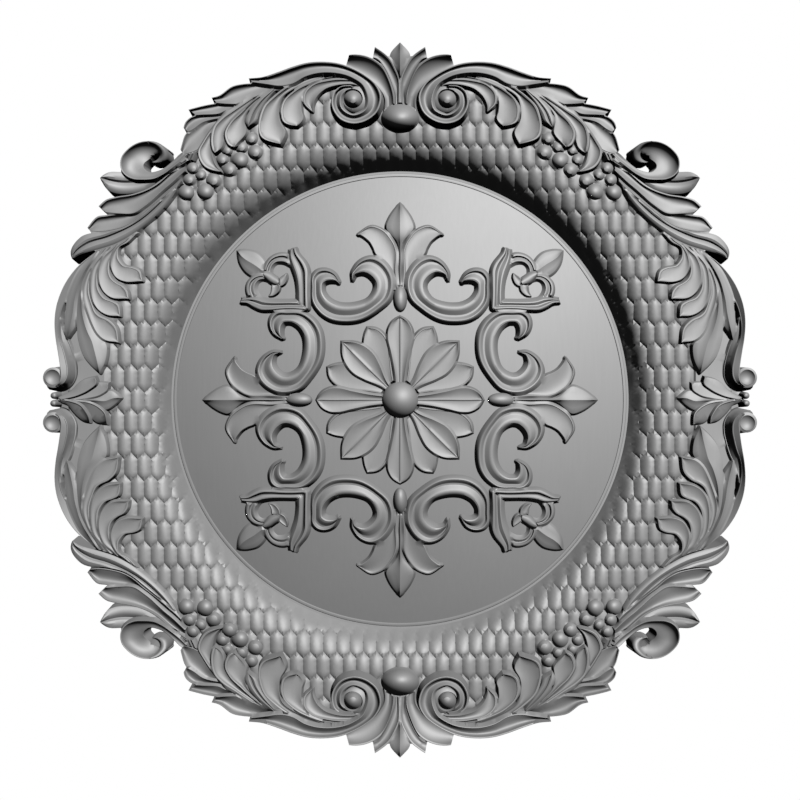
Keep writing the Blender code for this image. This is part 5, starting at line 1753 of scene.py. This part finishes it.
@dataclass
class Rosette:
    """The whole carving as one closed piece.

    Args:
        parts: the groups of carved forms.
        scales: the fish scales of the ring.
        finish: what it is painted with.
        chisel: how finely it is cut.
        crease: degrees between two faces from which their edge is sharp.
        triangles: the most that the piece may have.
    """

    parts: tuple
    scales: Scales
    finish: PrimedWood
    chisel: Chisel
    crease: float = 33.0
    triangles: int = 190000

    def sheets(self) -> list[Sheet]:
        """Sheets of all forms at all their places, from back to front."""
        layers = [layer for part in self.parts for layer in part.layers()]
        layers.sort(key=lambda layer: layer.rank)
        return [
            self.chisel.sheet(form, place)
            for layer in layers
            for place in layer.spread.value
            for form in layer.forms
        ]

    def thin(self, piece: bpy.types.Object) -> None:
        """Takes points out of the nearly flat stretches until few enough triangles are left."""
        share = self.triangles / len(piece.data.polygons)
        if share >= 1.0:
            return
        bpy.ops.object.select_all(action="DESELECT")
        piece.select_set(True)
        bpy.context.view_layer.objects.active = piece
        modifier = piece.modifiers.new("thin", "DECIMATE")
        modifier.ratio = share
        bpy.ops.object.modifier_apply(modifier=modifier.name)

    def build(self) -> bpy.types.Object:
        """Carves the rosette and dresses it."""
        relief = Relief(self.sheets(), self.scales)
        log.info("%d sheets", len(relief.sheets))
        relief.add_sheets()
        log.info("%d points on the forms", len(relief.points))
        relief.add_disc()
        relief.add_ring()
        log.info("%d points with the ground", len(relief.points))
        body = Body(*relief.skin())
        mesh = bpy.data.meshes.new("carved_rosette")
        corners = [(x / 1000, -height / 1000, z / 1000) for x, z, height in body.points]
        mesh.from_pydata(corners, [], body.faces)
        piece = bpy.data.objects.new("carved_rosette", mesh)
        bpy.context.scene.collection.objects.link(piece)
        self.thin(piece)
        mesh.shade_smooth()
        mesh.set_sharp_from_angle(angle=math.radians(self.crease))
        self.finish.dress(piece)
        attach(piece, "root")
        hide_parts("rosette")
        log.info("carved_rosette: %d triangles", len(mesh.polygons))
        return piece


@dataclass(frozen=True)
class Lamp:
    """A distant light that lights directly only, with nothing thrown back from the disc or the floor.

    Args:
        off_axis: degrees between its direction and the way to the camera.
        azimuth: degrees in the picture, from the right upwards.
        strength: irradiance in watts per square metre.
        width: degrees that it is wide.
        shadow: whether it throws shadows.
    """

    off_axis: float
    azimuth: float
    strength: float
    width: float
    shadow: bool = False

    def add(self, name: str) -> None:
        """Puts the light into the scene."""
        lamp = bpy.data.lights.new(name, "SUN")
        lamp.energy = self.strength
        lamp.angle = math.radians(self.width)
        lamp.use_shadow = self.shadow
        lamp.cycles.max_bounces = 0
        tilt, turn = math.radians(self.off_axis), math.radians(self.azimuth)
        aside = math.sin(tilt)
        towards = Vector((aside * math.cos(turn), -math.cos(tilt), aside * math.sin(turn)))
        holder = bpy.data.objects.new(name, lamp)
        holder.rotation_euler = towards.to_track_quat("Z", "Y").to_euler()
        bpy.context.scene.collection.objects.link(holder)


@dataclass(frozen=True)
class Studio:
    """Camera, lights, white background and floor.

    Args:
        distance: m from the back to the camera.
        lens: its focal length in mm.
        sensor: width in mm of its sensor.
        key: the main light, high on the right.
        fill: a weak light near the camera.
        behind: the light for the back.
        ambient: strength of the light from all around.
        floor_drop: m from the middle of the rosette down to the floor.
        floor_size: m across.
        floor_ahead: m from the back to the floor's middle.
        floor_grey: albedo of the floor.
        floor_spread: how much that varies.
        floor_roughness: its roughness.
    """

    distance: float = 1.2
    lens: float = 63.2
    sensor: float = 36.0
    key: Lamp = Lamp(42.0, 60.5, 3.48, 4.0)
    fill: Lamp = Lamp(12.0, 74.0, 0.15, 4.0)
    behind: Lamp = Lamp(180.0, 0.0, 1.3, 4.0, True)
    ambient: float = 0.002
    floor_drop: float = 0.4
    floor_size: float = 1.3
    floor_ahead: float = 0.5
    floor_grey: float = 0.78
    floor_spread: float = 0.03
    floor_roughness: float = 0.8

    def add_camera(self) -> None:
        """Puts the camera in front of the middle, looking along +Y, with plain colours."""
        camera = bpy.data.cameras.new("camera")
        camera.lens = self.lens
        camera.sensor_width = self.sensor
        camera.sensor_fit = "HORIZONTAL"
        eye = bpy.data.objects.new("camera", camera)
        eye.location = (0.0, -self.distance, 0.0)
        eye.rotation_euler = (math.pi / 2, 0.0, 0.0)
        bpy.context.scene.collection.objects.link(eye)
        bpy.context.scene.camera = eye
        bpy.context.scene.view_settings.view_transform = "Standard"

    def add_lights(self) -> None:
        """Adds the lamps and the white background with its weak light."""
        for name in ("key", "fill", "behind"):
            getattr(self, name).add(name)
        world = bpy.data.worlds.new("studio")
        bpy.context.scene.world = world
        world.use_nodes = True
        nodes, links = world.node_tree.nodes, world.node_tree.links
        plain = nodes["Background"]
        plain.inputs["Color"].default_value = (1.0, 1.0, 1.0, 1.0)
        plain.inputs["Strength"].default_value = self.ambient
        white = nodes.new("ShaderNodeBackground")
        white.inputs["Color"].default_value = (1.0, 1.0, 1.0, 1.0)
        mix = nodes.new("ShaderNodeMixShader")
        path = nodes.new("ShaderNodeLightPath")
        links.new(path.outputs["Is Camera Ray"], mix.inputs[0])
        links.new(plain.outputs[0], mix.inputs[1])
        links.new(white.outputs[0], mix.inputs[2])
        links.new(mix.outputs[0], nodes["World Output"].inputs["Surface"])

    def add_floor(self) -> None:
        """Adds a plain pale floor below and in front of the rosette."""
        bpy.ops.object.select_all(action="DESELECT")
        place = (0.0, -self.floor_ahead, -self.floor_drop)
        bpy.ops.mesh.primitive_plane_add(size=self.floor_size, location=place)
        floor = bpy.context.object
        floor.name = "floor"
        bpy.ops.object.transform_apply(location=True, rotation=True, scale=True)
        shop = Shop("pale_floor")
        place = shop.node("ShaderNodeTexCoord", {}, {}).outputs["Object"]
        cloud = shop.node("ShaderNodeTexNoise", {}, {"Vector": place, "Scale": 3.0})
        shade = self.floor_grey + Socket(shop, cloud.outputs["Fac"]) * self.floor_spread
        shop.feed(shop.shader.inputs["Base Color"], shop.ramp(shade, ((0.0, 0.0), (1.0, 1.0))))
        shop.shader.inputs["Roughness"].default_value = self.floor_roughness
        floor.data.materials.append(shop.material)


def main() -> None:
    """Builds the rosette and its studio."""
    logging.basicConfig(level=logging.INFO, format="%(name)s: %(message)s")
    chisel = Chisel()
    parts = (
        SideBorder(), SidePalmette(), ScrollSpray(), BerryBunch(), TopPalmette(), LeafBorder(),
        Flower(), CrossPalmette(), CornerHeart(),
    )
    Rosette(parts, Scales(), PrimedWood(), chisel).build()
    studio = Studio()
    studio.add_camera()
    studio.add_lights()
    studio.add_floor()


if __name__ == "__main__":
    main()
